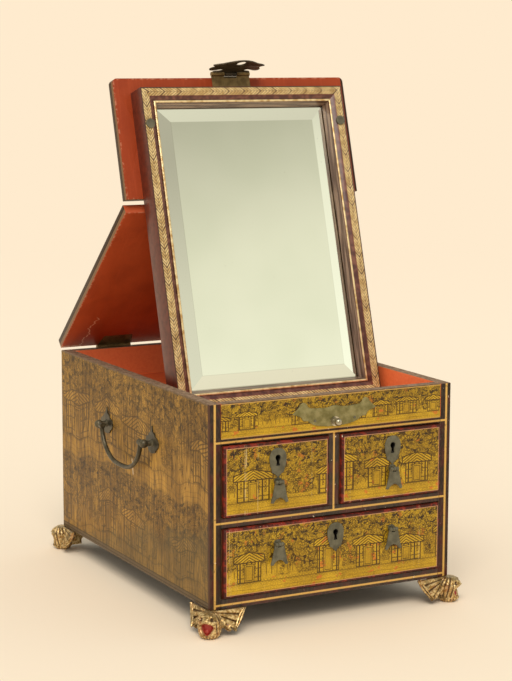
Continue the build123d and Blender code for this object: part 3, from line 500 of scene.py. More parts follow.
def red_lacquer(name):
    """Vermilion lacquer with brush marks, dust and a few fine cracks."""
    paint = Paint(name)
    marks = paint.noise(paint.vector(paint.x * 0.05, paint.y, paint.z), 0.35, 3.0)
    dust = paint.noise(paint.place, 0.03, 4.0, 0.6)
    cracks = paint.cells(paint.place, 0.012, "DISTANCE_TO_EDGE").fall(0.0, 0.004)
    colour = paint.mix(dust.rise(0.40, 0.70) * 0.5, srgb(222, 106, 56), srgb(200, 84, 44))
    colour = paint.mix(marks.rise(0.55, 0.75) * 0.25, colour, srgb(216, 104, 60))
    colour = paint.mix(cracks * 0.35, colour, srgb(90, 30, 16))
    rough = marks * 0.20 + 0.28
    return paint.finish(colour, rough, bump=marks + cracks * -0.6, depth=0.10, Coat_Weight=0.2)


board_paint = frame_board("lacquer_frame_boards")
tray_paint = red_lacquer("vermilion_tray")
print("board finishes ready")

# %% [markdown]
# ## The lid's leaves
#
# Each leaf is red inside and carries a garden on its outer face. Its paint has to follow the
# leaf and not the room, so the place of a point is turned into the leaf's own axes first. One
# line of trigonometry does that: along the leaf, and up through its thickness.

# %% Paint the leaves
REAR_TURN = math.radians(42.3)
FRONT_TURN = math.radians(106.1)
FRONT_LEAF_END = -130.5


def leaf_axes(paint, pin, turn):
    """The place along a leaf and through it, measured from its hinge pin."""
    y, z = paint.y - pin.y, paint.z - pin.z
    along = y * math.cos(turn) - z * math.sin(turn)
    through = y * math.sin(turn) + z * math.cos(turn)
    return along, through


def leaf_material(name, pin, turn, near, far, inner, outer, seed, cracked):
    """Red inside, a picture outside, and dark edges with a painted highlight on their inner half; one leaf has an old
    crack, and its red is painted lighter to make up for shade.
    """
    paint = Paint(name)
    along, through = leaf_axes(paint, pin, turn)
    length = near - far
    outside = through.rise(outer - 1.0, outer - 0.4)
    inside = through.fall(inner + 0.4, inner + 1.0)
    picture = garden(paint, paint.x + 700, near - along, length, length * 0.55, seed, 1.6)
    painted, gold = gilded(paint, picture, wear=0.5)
    margin = boxed(paint.x, along, -HALF_WIDTH, HALF_WIDTH, far, near)
    painted = paint.mix(margin.fall(7.0, 7.6), painted, BLACK)
    painted = paint.mix(margin.line(3.6, 0.9), painted, LINE_GOLD)
    marks = paint.noise(paint.vector(paint.x, along * 0.06), 0.30, 3.0)
    dust = paint.noise(paint.place, 0.03, 4.0, 0.6)
    # Painted light: the rear leaf, the cracked one, gets a lighter red than the front leaf, to make up for the shade
    # that it lies in.
    leaf_red = srgb(178, 74, 36) if cracked else srgb(158, 64, 30)
    red = paint.mix(dust.rise(0.40, 0.70) * 0.4, leaf_red, srgb(136, 50, 24))
    red = paint.mix(marks.rise(0.50, 0.75) * 0.25, red, srgb(192, 84, 46))
    rub = paint.noise(paint.place, 0.3, 3.0).rise(0.50, 0.62)
    red = paint.mix(margin.fall(0.8, 2.4) * rub * 0.45, red, srgb(212, 150, 116))
    red = paint.mix((paint.x - (HALF_WIDTH - 3.0)).rise(0, 0.5), red, srgb(58, 36, 26))
    if cracked:
        wander = (paint.noise(paint.vector(along, 3.0), 0.06, 4.0, 0.7) - 0.5) * 26
        up_crack = (paint.x + (HALF_WIDTH - 24) + wander + along * 0.08).size().fall(0.5, 0.9)
        up_crack = up_crack * along.rise(-62.0, -58.0)
        low_crack = (along + 5.0 + wander * 0.2).size().fall(0.5, 0.9) * paint.x.fall(-119.0, -116.0)
        red = paint.mix(up_crack.most(low_crack) * 0.9, red, srgb(226, 178, 148))
    middle = (inner + outer) / 2
    edge_tone = paint.mix(marks, srgb(46, 32, 22), srgb(84, 62, 40))
    # Painted highlight: the inner half of each edge, next to the red face, is a lighter brown.
    edge = paint.mix(through.fall(middle - 0.6, middle + 0.6), edge_tone, srgb(132, 98, 66))
    edge = paint.mix(through.line(middle, 0.45), edge, srgb(40, 26, 16))
    end_face = (margin - boxed(paint.x, along, -1000, 1000, far, near)).size().fall(0.1, 0.4)
    end_face = end_face * (along - far).fall(0.8, 1.4)
    edge = paint.mix(end_face, edge, srgb(186, 80, 42))
    colour = paint.mix(inside, edge, red)
    colour = paint.mix(outside, colour, painted)
    rough = marks * 0.20 + 0.32
    height = marks * 0.5 + gold * outside * 0.5
    return paint.finish(colour, rough, bump=height, depth=0.12, Specular_IOR_Level=0.18)


PIN_EDGE = rear_pin.y - CASE_BACK
LID_T = 11.0
rear_length = (rear_pin - mid_pin).length
rear_leaf_paint = leaf_material(
    "lid_rear_lacquer", rear_pin, REAR_TURN, -PIN_EDGE, -rear_length, 0.15, 0.15 + LID_T, 9.0, True
)
front_leaf_paint = leaf_material(
    "lid_front_lacquer", mid_pin, FRONT_TURN, -0.5, FRONT_LEAF_END,
    -PIN_EDGE - LID_T, -PIN_EDGE, 13.0, False,
)
print("rear leaf is", round(rear_length, 1), "mm to the middle pin")

# %% [markdown]
# ## Drawers
#
# A drawer's face is one gold picture inside a thin line, and its edges are oxblood lacquer that
# has rubbed to red along the arrises. Behind the face the box is plain wood.

# %% Paint the drawers
KEY_DOWN = 18.0


def drawer_face(name, node, seed):
    """A picture on the face, red lacquer round the edges, and painted shade in the keyhole."""
    paint = Paint(name)
    low, high = span(node)
    inside = boxed(paint.x, paint.z, low.x, high.x, low.z, high.z)
    tall = high.z - low.z
    picture = garden(paint, paint.x + 400, paint.z - low.z, tall, tall * 0.66, seed)
    painted, gold = gilded(paint, picture)
    rub = paint.noise(paint.place, 0.10, 4.0, 0.7)
    red = paint.mix(rub.rise(0.48, 0.62), srgb(82, 32, 24), srgb(150, 50, 32))
    band = paint.mix(rub.rise(0.5, 0.6), srgb(66, 28, 20), srgb(128, 42, 28))
    painted = paint.mix(inside.fall(2.3, 2.7), painted, band)
    painted = paint.mix(inside.line(2.6, 0.35) * 0.7, painted, srgb(206, 150, 110))
    crack = paint.noise(paint.vector(paint.x + rub * 1.5, paint.z * 0.004, seed), 0.05, 2.0) - 0.5
    crack = crack.size().fall(0.0005, 0.0014) * rub.rise(0.44, 0.56) * 0.4
    painted = paint.mix(crack, painted, srgb(226, 202, 150))
    chips = paint.noise(paint.place, 0.25, 3.0, 0.6).rise(0.70, 0.72) * inside.fall(3.0, 4.5)
    painted = paint.mix(chips, painted, CHIP)
    middle = (low.x + high.x) / 2
    # Painted shade: the face and its bore are near black within 8.2 mm of the keyhole's centre, so that the keyhole
    # looks like a deep, dark hole.
    keyhole_shade = paint.vector(paint.x - middle, paint.z - (high.z - KEY_DOWN))
    keyhole_shade = paint.node("VectorMath", {"operation": "LENGTH"}, [keyhole_shade], 1)
    face = paint.y.fall(low.y + 1.0, low.y + 1.6)
    colour = paint.mix(face, red, painted)
    wood = paint.mix(paint.noise(paint.place, 0.3, 3.0), srgb(120, 84, 52), srgb(156, 116, 76))
    colour = paint.mix(paint.y.rise(CASE_FRONT + 1, CASE_FRONT + 2), colour, wood)
    colour = paint.mix(keyhole_shade.fall(8.2, 8.4), colour, (0.004, 0.003, 0.002))
    rough = rub * 0.2 + 0.32
    height = gold * face + rub * 0.3
    return paint.finish(colour, rough, bump=height, depth=0.12, Specular_IOR_Level=0.3)


def drawer_wood(name):
    """Plain straight-grained wood, darker with age."""
    paint = Paint(name)
    grain = paint.noise(paint.vector(paint.x, paint.y * 0.03, paint.z), 0.45, 5.0, 0.6)
    age = paint.noise(paint.place, 0.02, 2.0)
    colour = paint.mix(grain, srgb(126, 88, 54), srgb(176, 134, 90))
    colour = paint.mix(age.rise(0.4, 0.7) * 0.4, colour, srgb(96, 64, 40))
    return paint.finish(colour, grain * 0.15 + 0.55, bump=grain, depth=0.2)


drawer_names = ("small_drawer_left", "small_drawer_right", "long_drawer")
drawer_paints = {
    name: drawer_face(name + "_lacquer", name + "_front", 7.0 + 4 * number)
    for number, name in enumerate(drawer_names)
}
wood_paint = drawer_wood("drawer_wood")
print("drawer finishes:", list(drawer_paints))

# %% [markdown]
# ## The mirror and its frame
#
# From its outer edge, the frame's face has a gold band of overlapping leaves, a dark slope, a
# gilt bead and a dark inner slope, with pale streaks on the inner slope as a painted highlight.
# The band's pattern runs along each rail, so it needs to know how far a point is from the
# frame's outer edge: the nearer of the two edges wins, which also gives the mitred corners.

# %% Paint the frame
stile_low, stile_high = span("mirror_stile_left")
FRAME_HALF = -stile_low.x
MIRROR_FACE = -PIN_EDGE - LID_T - 26.0
FOOT_ALONG = 227.918
HEAD_ALONG = -114.0
FRAME_MID = (FOOT_ALONG + HEAD_ALONG) / 2
FRAME_LONG = (FOOT_ALONG - HEAD_ALONG) / 2
LEAF_PITCH = 19.0


def frame_paint(name):
    """Bands of gold leaves and dark mouldings that follow the frame's section, with a painted highlight on the inner
    slope.
    """
    paint = Paint(name)
    along, through = leaf_axes(paint, mid_pin, FRONT_TURN)
    in_x = FRAME_HALF - paint.x.size()
    in_y = FRAME_LONG - (along - FRAME_MID).size()
    inset = in_x.least(in_y)
    on_stile = (in_y - in_x).rise(-0.1, 0.1)
    run = paint.x * (1 - on_stile) + along * on_stile + 500
    wobble = paint.noise(paint.place, 0.08, 2.0) * 0.35
    wide = (inset - 5.0).size()
    leaf_run = run / LEAF_PITCH + wide * 0.075 + wobble * 0.4
    leaf_line = leaf_run.part().line(0.5, 0.055)
    tip = (leaf_run.part() - 0.5).size().fall(0.0, 0.20) * wide.rise(2.2, 4.4)
    vein = wide.fall(0.2, 0.5)
    rib = (leaf_run * 5).part().line(0.5, 0.19) * 0.75
    tone = paint.noise(paint.place, 0.15, 3.0)
    rubbed = paint.noise(paint.place, 0.06, 3.0).rise(0.45, 0.65)
    band = paint.mix(tone.rise(0.35, 0.65), srgb(190, 156, 94), srgb(228, 200, 138))
    drawn = leaf_line.most(vein * 0.6).most(rib).most(tip * 0.8) * (0.95 - rubbed * 0.35)
    band = paint.mix(drawn, band, srgb(74, 44, 26))
    band = paint.mix(inset.fall(0.9, 1.4), band, srgb(66, 38, 28))
    dark = paint.mix(tone.rise(0.4, 0.7), srgb(74, 32, 24), srgb(120, 72, 54))
    bead = paint.mix(tone.rise(0.3, 0.6), srgb(196, 156, 96), srgb(240, 220, 168))
    # Painted highlight: pale streaks that run along the inner slope.
    painted_sheen = paint.noise(paint.vector(inset * 1.2, run * 0.02), 0.9, 2.0)
    inner = paint.mix(painted_sheen.rise(0.40, 0.64), srgb(82, 56, 44), srgb(150, 124, 104))
    colour = paint.mix(inset.rise(9.0, 9.6), band, dark)
    colour = paint.mix(inset.line(9.6, 0.35) * 0.5, colour, srgb(120, 30, 20))
    colour = paint.mix(inset.rise(14.0, 14.4) * inset.fall(16.2, 16.8), colour, bead)
    colour = paint.mix(inset.rise(16.6, 17.2), colour, inner)
    front = through.fall(MIRROR_FACE + 12.0, MIRROR_FACE + 12.4) * inset.rise(-0.05, 0.25)
    side = paint.mix(tone.rise(0.3, 0.8), srgb(104, 46, 30), srgb(78, 34, 24))
    colour = paint.mix(front, side, colour)
    metal = inset.rise(14.0, 14.4) * inset.fall(16.2, 16.8) * front * 0.5
    rough = tone * 0.2 + 0.24
    height = tone * 0.5 - drawn * front
    return paint.finish(colour, rough, metal, height, depth=0.15, Coat_Weight=0.15)


def mirror_paint(name):
    """Old silvered glass: clear in the middle, a faint haze and edge spots, and a painted reflection on the bevel."""
    paint = Paint(name)
    along, through = leaf_axes(paint, mid_pin, FRONT_TURN)
    in_x = FRAME_HALF - 20.5 - paint.x.size()
    in_y = FRAME_LONG - 20.5 - (along - FRAME_MID).size()
    inset = in_x.least(in_y)
    bevel = inset.fall(14.6, 15.0)
    flat = paint.vector(paint.x, along)
    haze = paint.noise(flat, 0.008, 2.0, 0.5)
    spots = paint.cells(flat, 0.10).fall(0.02, 0.06)
    spots = spots * paint.noise(flat, 0.03, 2.0).rise(0.56, 0.64)
    silver = paint.mix(haze.rise(0.35, 0.7) * 0.5, srgb(243, 245, 232), srgb(228, 233, 216))
    # Painted reflection: the bevel is a brighter silver than the flat face.
    silver = paint.mix(bevel, silver, srgb(252, 255, 244))
    silver = paint.mix(inset.line(14.8, 0.45) * 0.12, silver, srgb(170, 176, 160))
    silver = paint.mix(inset.fall(0.0, 1.6) * 0.5, silver, srgb(120, 120, 100))
    silver = paint.mix(spots * 0.5, silver, srgb(120, 110, 84))
    back = through.rise(MIRROR_FACE + 14.0, MIRROR_FACE + 14.5)
    silver = paint.mix(back, silver, srgb(110, 110, 112))
    rough = haze * 0.04 + 0.03 + spots * 0.3
    return paint.finish(silver, rough, 1.0)


rail_paint = frame_paint("mirror_frame_lacquer")
glass_paint = mirror_paint("silvered_glass")
print("frame:", round(2 * FRAME_HALF, 1), "by", round(2 * FRAME_LONG, 1), "mm")

# %% [markdown]
# ## Metal and gilding
#
# The mounts are a pale copper alloy gone grey-brown, with small spots of green. The
# hinges are brass. The feet are gilded over red, and the red shows where hands have rubbed.

# %% Mix the metals and the gilding
def aged_metal(name, bright, dark, metal=0.35, rough=0.42):
    """Tarnished metal: a dull, nearly even grey with scratches and a little green."""
    paint = Paint(name)
    patch = paint.noise(paint.place, 0.13, 3.0, 0.55)
    spots = paint.noise(paint.place, 0.9, 3.0, 0.6).rise(0.50, 0.66)
    scratch = paint.noise(paint.vector(paint.x * 3, paint.y * 3, paint.z * 0.2), 0.8, 2.0)
    colour = paint.mix(patch.rise(0.30, 0.70), dark, bright)
    colour = paint.mix(spots * 0.25, colour, srgb(92, 98, 74))
    roughness = patch * 0.2 + rough - 0.08 + spots * 0.12
    return paint.finish(colour, roughness, metal, patch + scratch * 0.4, depth=0.10)


def gilt(name):
    """Rubbed gilding, red in the mouth, with painted shade that darkens the hollows and leaves the ridges bright."""
    paint = Paint(name)
    hollow = paint.node("Attribute", {"attribute_name": "hollow"}, out=2)
    mouth = paint.node("Attribute", {"attribute_name": "mouth"}, out=2)
    rub = paint.noise(paint.place, 0.10, 3.0, 0.6)
    fine = paint.noise(paint.place, 0.45, 3.0)
    gold = paint.mix(fine.rise(0.34, 0.66), srgb(162, 124, 66), srgb(232, 206, 150))
    gold = paint.mix(rub.rise(0.52, 0.62) * 0.65, gold, srgb(104, 84, 44))
    gold = paint.mix(rub.fall(0.36, 0.44) * 0.45, gold, srgb(160, 98, 66))
    # Painted shade: the deeper a vertex lies, the darker brown the gilding is painted.
    colour = paint.mix(hollow.rise(0.12, 0.80), gold, srgb(74, 46, 22))
    colour = paint.mix(mouth.rise(0.2, 0.6), colour, srgb(168, 56, 46))
    metal = 0.70 - mouth.most(hollow) * 0.65
    return paint.finish(colour, fine * 0.2 + 0.26, metal.most(0.0), fine * 0.4 + rub, depth=0.20)


mount_metal = aged_metal("grey_mount_metal", srgb(112, 108, 88), srgb(84, 80, 64))
lock_metal = aged_metal("olive_lock_metal", srgb(150, 140, 92), srgb(112, 104, 54))
dark_metal = aged_metal("dark_hasp_metal", srgb(78, 66, 46), srgb(50, 40, 28))
hasp_plate_metal = aged_metal("grey_hasp_plate", srgb(128, 112, 90), srgb(92, 80, 60))
bail_metal = aged_metal("dark_bail_metal", srgb(104, 96, 76), srgb(62, 56, 44), 0.6, 0.34)
stud_metal = aged_metal("bright_stud_metal", srgb(206, 198, 176), srgb(150, 142, 118), 0.9, 0.22)
hinge_metal = aged_metal("brass_hinges", srgb(150, 124, 78), srgb(108, 86, 50), 0.6)
foot_gilt = gilt("rubbed_gilding")
print("metals ready")

# %% [markdown]
# ## Softened boards
#
# A solid model has knife-sharp edges, and real boards do not. A copy of each board is merged,
# its flat faces are joined, and a small bevel rounds its edges so that they catch the light.

# %% Bevel copies of the boards
def only(piece):
    """Selects one object and nothing else."""
    bpy.ops.object.select_all(action="DESELECT")
    piece.select_set(True)
    bpy.context.view_layer.objects.active = piece


def add_to(piece, body, slot_name, *replaced):
    """Puts a finished piece on its body."""
    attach(piece, body)
    if replaced:
        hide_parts(*replaced)


def dress(piece, material):
    """One material all over."""
    piece.data.materials.clear()
    piece.data.materials.append(material)


def softened(node, width, material, segments=2, angle=35):
    """A copy of a CAD board with rounded edges, which takes the node's place."""
    only(nodes[node])
    bpy.ops.object.duplicate()
    piece = bpy.context.active_object
    piece.name = node + "_board"
    piece.parent = None
    for key in list(piece.keys()):
        del piece[key]
    bpy.ops.object.mode_set(mode="EDIT")
    bpy.ops.mesh.select_all(action="SELECT")
    bpy.ops.mesh.remove_doubles(threshold=1e-6)
    bpy.ops.mesh.dissolve_limited(angle_limit=math.radians(2))
    bpy.ops.object.mode_set(mode="OBJECT")
    bevel = piece.modifiers.new("edges", "BEVEL")
    bevel.width = width * MM
    bevel.segments = segments
    bevel.limit_method = "ANGLE"
    bevel.angle_limit = math.radians(angle)
    bpy.ops.object.modifier_apply(modifier="edges")
    bpy.ops.object.shade_smooth_by_angle(angle=math.radians(angle))
    dress(piece, material)
    add_to(piece, body_of[node], slots[node], node)
    return piece


for node, material in case_materials.items():
    softened(node, 0.8, material)
for node in ("case_base", "drawer_shelf", "drawer_divider"):
    softened(node, 0.4, board_paint, 1)
softened("tray_floor", 0.3, tray_paint, 1)
softened("lid_rear_leaf", 0.9, rear_leaf_paint)
softened("lid_front_leaf", 0.9, front_leaf_paint)
for name in drawer_names:
    softened(name + "_front", 0.5, drawer_paints[name])
    softened(name + "_box", 0.5, wood_paint, 1)
for part in ("stile_left", "stile_right", "rail_top", "rail_bottom"):
    softened("mirror_" + part, 0.35, rail_paint, 2)
print("softened boards ready")

# %% [markdown]
# ## Carved feet
#
# The box stands on four small masks, each with a leaf wing on either side. They were carved in
# wood, gilded over red, and screwed under the corners. A grid is the start of a wing and a
# sphere the start of a mask; every vertex is then moved by a formula, as a gouge would cut it.
# Each vertex also remembers how deep it lies, so that the finish can paint shade into the hollows.

# %% Helpers for carving
FOOT_TALL = CASE_LOW


def between(first, last, share):
    """A number part of the way from one to another."""
    return first + (last - first) * share


def swell(value, low, high):
    """0 below low, 1 above high, smooth between, as the shader's rise."""
    share = min(max((value - low) / (high - low), 0.0), 1.0)
    return share * share * (3 - 2 * share)


def along_path(points, share):
    """A place on a line of points, by its share of the whole length."""
    lengths = [math.dist(a, b) for a, b in zip(points, points[1:])]
    left = share * sum(lengths)
    for start, stop, length in zip(points, points[1:], lengths):
        if left <= length:
            return Vector(start).lerp(Vector(stop), left / length)
        left -= length
    return Vector(points[-1])


def carve(piece, cut):
    """Moves each vertex to where cut puts it, and keeps its hollow and mouth values."""
    hollow = piece.data.attributes.new("hollow", "FLOAT", "POINT")
    mouth = piece.data.attributes.new("mouth", "FLOAT", "POINT")
    for number, vertex in enumerate(piece.data.vertices):
        place, depth, red = cut(vertex.co.copy())
        vertex.co = Vector(place) * MM
        hollow.data[number].value = depth
        mouth.data[number].value = red


def flare(z):
    """How far a wing stands out from the case at a height: most at its tip."""
    return 0.8 + 6.2 * max((FOOT_TALL - z) / 21.0, 0.0) ** 1.6


print("carving helpers ready")

# %% Carve one wing
WING_RIM = [(37.5, 27.0), (29.5, 16.0), (23.0, 7.4), (17.5, 8.2), (14.0, 12.0), (11.0, 18.0)]
WING_FLUTES = 5
WALL_OF_WING = 3.6


def fluted(place):
    """The fan of leaves: x runs across the fan and y from its root to its rim."""
    across, out = place.x + 0.5, place.y + 0.5
    root = Vector((between(4.0, 8.5, across), between(FOOT_TALL, 17.0, across)))
    rim = along_path(WING_RIM, across)
    lobe = abs(math.sin(math.pi * WING_FLUTES * across))
    reach = out * (1 + 0.05 * (lobe - 0.6) * out)
    a, z = root.lerp(rim, reach)
    rib = math.exp(-(((across * WING_FLUTES) % 1 - 0.5) / 0.09) ** 2)
    stand = flare(z) + (3.0 * lobe ** 0.8 - 0.7 * rib) * between(0.35, 1.0, out)
    # How deep the grooves between the flutes lie, which the finish paints as shade.
    depth = 0.8 * (1 - lobe) ** 1.2 + 0.30 * rib * out
    return (a, -stand, min(z, FOOT_TALL)), depth, 0.0


def long_leaf(place):
    """The narrow leaf down the wing's outer end, with two raised edges."""
    side, down = place.x * 2, place.y + 0.5
    a = between(37.0, 23.2, down) + 0.8 * math.sin(math.pi * down)
    z = between(FOOT_TALL, 6.6, down)
    half = 3.1 * math.sin(math.pi * between(0.16, 0.94, down)) ** 0.7
    stand = flare(z) + 1.6 + 1.5 * abs(math.sin(math.pi * side))
    # How deep the middle groove and the leaf's outer rims lie, which the finish paints as shade.
    depth = max(0.0, 1 - abs(side) / 0.30) + 0.7 * swell(abs(side), 0.85, 1.0)
    return (a + side * half * 0.86, -stand, z - side * half * 0.30 * swell(down, 0, 0.2)), depth, 0.0


def shell(name, columns, rows, cut, wall):
    """A grid that is carved, and then given a thickness on its inner side."""
    bpy.ops.object.select_all(action="DESELECT")
    bpy.ops.mesh.primitive_grid_add(x_subdivisions=columns, y_subdivisions=rows, size=1)
    piece = bpy.context.active_object
    piece.name = name
    carve(piece, cut)
    front = sum((face.normal.y * face.area for face in piece.data.polygons))
    solid = piece.modifiers.new("wall", "SOLIDIFY")
    solid.thickness = wall * MM
    solid.offset = -1 if front < 0 else 1
    bpy.ops.object.modifier_apply(modifier="wall")
    return piece


wing_parts = [
    shell("wing_fan", 72, 22, fluted, WALL_OF_WING),
    shell("wing_leaf", 12, 30, long_leaf, 2.2),
]
print("wing vertices:", sum(len(piece.data.vertices) for piece in wing_parts))

# %% Carve the mask
MASK_OUT = 0.7
MASK_TOP = FOOT_TALL - 0.2


def mouth_share(angle, z):
    """1 inside the open mouth, 0 outside: a lozenge, widest at its corners."""
    side = min(abs(angle) / 45.0, 1.0)
    top = 17.2 - 4.8 * side ** 2.4
    low = 4.6 + 7.6 * side ** 1.7
    return swell(z, low - 0.4, low + 0.5) * (1 - swell(z, top - 0.5, top + 0.4)) * (side < 0.99)


def mask_radius(angle, z):
    """The distance from the mask's axis, and how hollow it is there."""
    body = 11.2 - 1.2 * swell(z, 19, MASK_TOP) - 0.9 * (1 - swell(z, 0, 5.0)) + 0.8 * swell(z, 9, 17)
    toes = abs(math.sin(math.radians(angle * 8.5)))
    low = 1 - swell(z, 3.6, 6.0)
    side = abs(angle)
    mane = abs(math.sin(math.radians(side * 7.5 + z * 9)))
    cheek = swell(side, 44, 54) * (1 - swell(side, 120, 135)) * swell(z, 4.5, 6.5)
    lip = swell(z, 15.8, 16.8) * (1 - swell(z, 19.0, 20.2)) * (1 - swell(side, 40, 58))
    jaw = swell(z, 2.4, 3.4) * (1 - swell(z, 5.4, 6.6)) * (1 - swell(side, 30, 48))
    nose = (1 - swell(side, 9, 17)) * swell(z, 18.0, 19.4) * (1 - swell(z, 22.6, 24.0))
    eye = (1 - swell(math.hypot((side - 31) / 10, (z - 21.2) / 2.0), 0.5, 1.1))
    brow = math.exp(-((side - 32) / 17) ** 2 - ((z - 24.2) / 1.5) ** 2)
    lines = low * (toes - 0.4) * 1.6 + cheek * (mane - 0.5) * 1.7
    gap = mouth_share(angle, z)
    tongue = (1 - swell(math.hypot(angle / 20, (z - 8.5) / 3.0), 0.5, 1.1))
    radius = body + lines + lip * 1.3 + jaw * 0.8 + nose * 1.8 - eye * 2.2 + brow * 2.0
    radius -= gap * (4.6 - 2.2 * tongue)
    # How deep it lies, which the finish paints as shade: between the toes and the locks of the mane, in the eyes, and
    # in a crease under the nose.
    depth = low * (1 - toes) ** 2 + cheek * (1 - mane) ** 1.5 + eye * 0.9
    depth += 0.5 * swell(z, 19.2, 20.0) * (1 - swell(z, 20.0, 20.8)) * (1 - nose)
    return radius, min(depth, 1.0), gap * between(0.75, 1.0, tongue)


def masked(place):
    """Turns a point of a unit sphere into a point of the mask."""
    angle = math.degrees(math.atan2(place.y, place.x))
    angle = (angle + 180) % 360 - 180
    z = MASK_TOP * (0.5 + 0.5 * place.z)
    flat = math.hypot(place.x, place.y)
    radius, depth, red = mask_radius(angle, z)
    radius *= flat ** 0.34 if flat > 0 else 0.0
    turn = math.radians(225 + angle)
    return (radius * math.cos(turn) - MASK_OUT, radius * math.sin(turn) - MASK_OUT, z), depth, red


bpy.ops.object.select_all(action="DESELECT")
bpy.ops.mesh.primitive_uv_sphere_add(segments=120, ring_count=56, radius=1)
mask = bpy.context.active_object
mask.name = "mask"
carve(mask, masked)
print("mask size:", [round(n / MM, 1) for n in mask.dimensions])

# %% Join one foot and set it under each corner
def joined(name, parts):
    """One object from several."""
    bpy.ops.object.select_all(action="DESELECT")
    for part in parts:
        part.select_set(True)
    bpy.context.view_layer.objects.active = parts[0]
    bpy.ops.object.join()
    parts[0].name = name
    return parts[0]


def copied(piece, name, change, flipped):
    """A copy with its own mesh, moved by a matrix; a mirrored one is turned right side out."""
    other = piece.copy()
    other.data = piece.data.copy()
    other.name = name
    bpy.context.scene.collection.objects.link(other)
    other.data.transform(change)
    if flipped:
        other.data.flip_normals()
    return other


swap = Matrix(((0, 1, 0, 0), (1, 0, 0, 0), (0, 0, 1, 0), (0, 0, 0, 1)))
other_wing = [copied(piece, piece.name + "_side", swap, True) for piece in wing_parts]
bpy.ops.object.select_all(action="DESELECT")
bpy.ops.mesh.primitive_cube_add(size=1)
core = bpy.context.active_object
core.data.transform(
    Matrix.Translation(Vector((8.5, 8.5, 17.0)) * MM) @ Matrix.Diagonal((0.015, 0.015, 0.0198, 1))
)
foot = joined("carved_foot", [mask, *wing_parts, *other_wing, core])
bpy.ops.object.shade_smooth_by_angle(angle=math.radians(50))

corner_places = {
    "foot_front_left": (-1, -1), "foot_front_right": (1, -1),
    "foot_back_left": (-1, 1), "foot_back_right": (1, 1),
}
carved_feet = []
for node, (right, back) in corner_places.items():
    stand = Matrix.Translation(Vector((right * HALF_WIDTH, back * CASE_BACK, 0)) * MM)
    stand = stand @ Matrix.Diagonal((-right, -back, 1, 1))
    piece = copied(foot, node + "_carved", stand, right * back < 0)
    carved_feet.append(piece)
    dress(piece, foot_gilt)
    add_to(piece, body_of[node], slots[node], node)
bpy.data.objects.remove(foot)
print("carved feet:", len(carved_feet))

# %% [markdown]
# ## Plates cut from sheet metal
#
# The lock plate, escutcheons, drawer pulls and the hasp's tongue were sawn from sheet and filed
# by hand. A flat curve with a small round on its edge gives the same thing: the first outline
# is the plate's edge, and the others are its holes. Half an outline is enough, because each of
# these plates is the same on both sides of its middle.

# %% Cut plates
def both_halves(points):
    """A whole outline from its right half, which runs from the top middle to the bottom."""
    left = [(-x, *rest) for x, *rest in reversed(points) if x > 0]
    return points + left


def flat_plate(name, outlines, thick, edge):
    """A plate in the XY plane; a third number on a point makes it a sharp corner."""
    curve = bpy.data.curves.new(name, "CURVE")
    curve.dimensions = "2D"
    curve.fill_mode = "BOTH"
    curve.resolution_u = 8
    for points in outlines:
        line = curve.splines.new("BEZIER")
        line.bezier_points.add(len(points) - 1)
        line.use_cyclic_u = True
        for knot, (x, y, *sharp) in zip(line.bezier_points, points):
            knot.co = (x * MM, y * MM, 0.0)
            knot.handle_left_type = knot.handle_right_type = "VECTOR" if sharp else "AUTO"
    curve.extrude = (thick / 2 - edge) * MM
    curve.bevel_depth = edge * MM
    curve.bevel_resolution = 2
    curve.offset = -edge * MM
    piece = bpy.data.objects.new(name, curve)
    bpy.context.scene.collection.objects.link(piece)
    only(piece)
    bpy.ops.object.convert(target="MESH")
    piece = bpy.context.active_object
    bpy.ops.object.mode_set(mode="EDIT")
    bpy.ops.mesh.select_all(action="SELECT")
    bpy.ops.mesh.remove_doubles(threshold=1e-7)
    bpy.ops.mesh.normals_make_consistent(inside=False)
    bpy.ops.object.mode_set(mode="OBJECT")
    bpy.ops.object.shade_smooth_by_angle(angle=math.radians(40))
    return piece


def round_bar(name, radius, start, end, edge):
    """A short bar along X with rounded ends."""
    bpy.ops.object.select_all(action="DESELECT")
    bpy.ops.mesh.primitive_cylinder_add(
        vertices=28, radius=radius * MM, depth=(end - start) * MM, rotation=(0, math.pi / 2, 0)
    )
    bar = bpy.context.active_object
    bar.name = name
    bar.data.transform(Matrix.Translation(((start + end) / 2 * MM, 0, 0)) @ bar.matrix_world)
    bar.matrix_world = Matrix.Identity(4)
    bevel = bar.modifiers.new("edges", "BEVEL")
    bevel.width = edge * MM
    bevel.segments = 2
    bevel.limit_method = "ANGLE"
    bpy.ops.object.modifier_apply(modifier="edges")
    bpy.ops.object.shade_smooth_by_angle(angle=math.radians(40))
    return bar


def upright(x, y, z):
    """Stands a flat plate on a face that looks to the front."""
    return Matrix.Translation(Vector((x, y, z)) * MM) @ Matrix.Rotation(math.pi / 2, 4, "X")


print("plate helpers ready")

# %% Make the lock plate and the escutcheons
LOCK_HALF = [
    (0, 222.2), (9, 220.6), (20, 220.8), (30.5, 222.6), (33.0, 226.2), (36.8, 227.4), (42.5, 221.8),
    (48.5, 216.4, 1), (43.0, 214.6), (38.6, 212.6), (36.4, 209.4), (30.8, 208.2), (27.0, 205.4),
    (17.0, 202.4), (0, 201.0),
]
LOCK_T, SCUTCHEON_T = 1.2, 1.2
lock_low = LOCK_HALF[-1][1]
lock = flat_plate("lock_plate_cut", [both_halves([(x, z - lock_low, *s) for x, z, *s in LOCK_HALF])], LOCK_T, 0.3)
lock.data.transform(upright(0, CASE_FRONT - LOCK_T / 2, lock_low))
dress(lock, lock_metal)
add_to(lock, body_of["lock_plate"], slots["lock_plate"], "lock_plate")

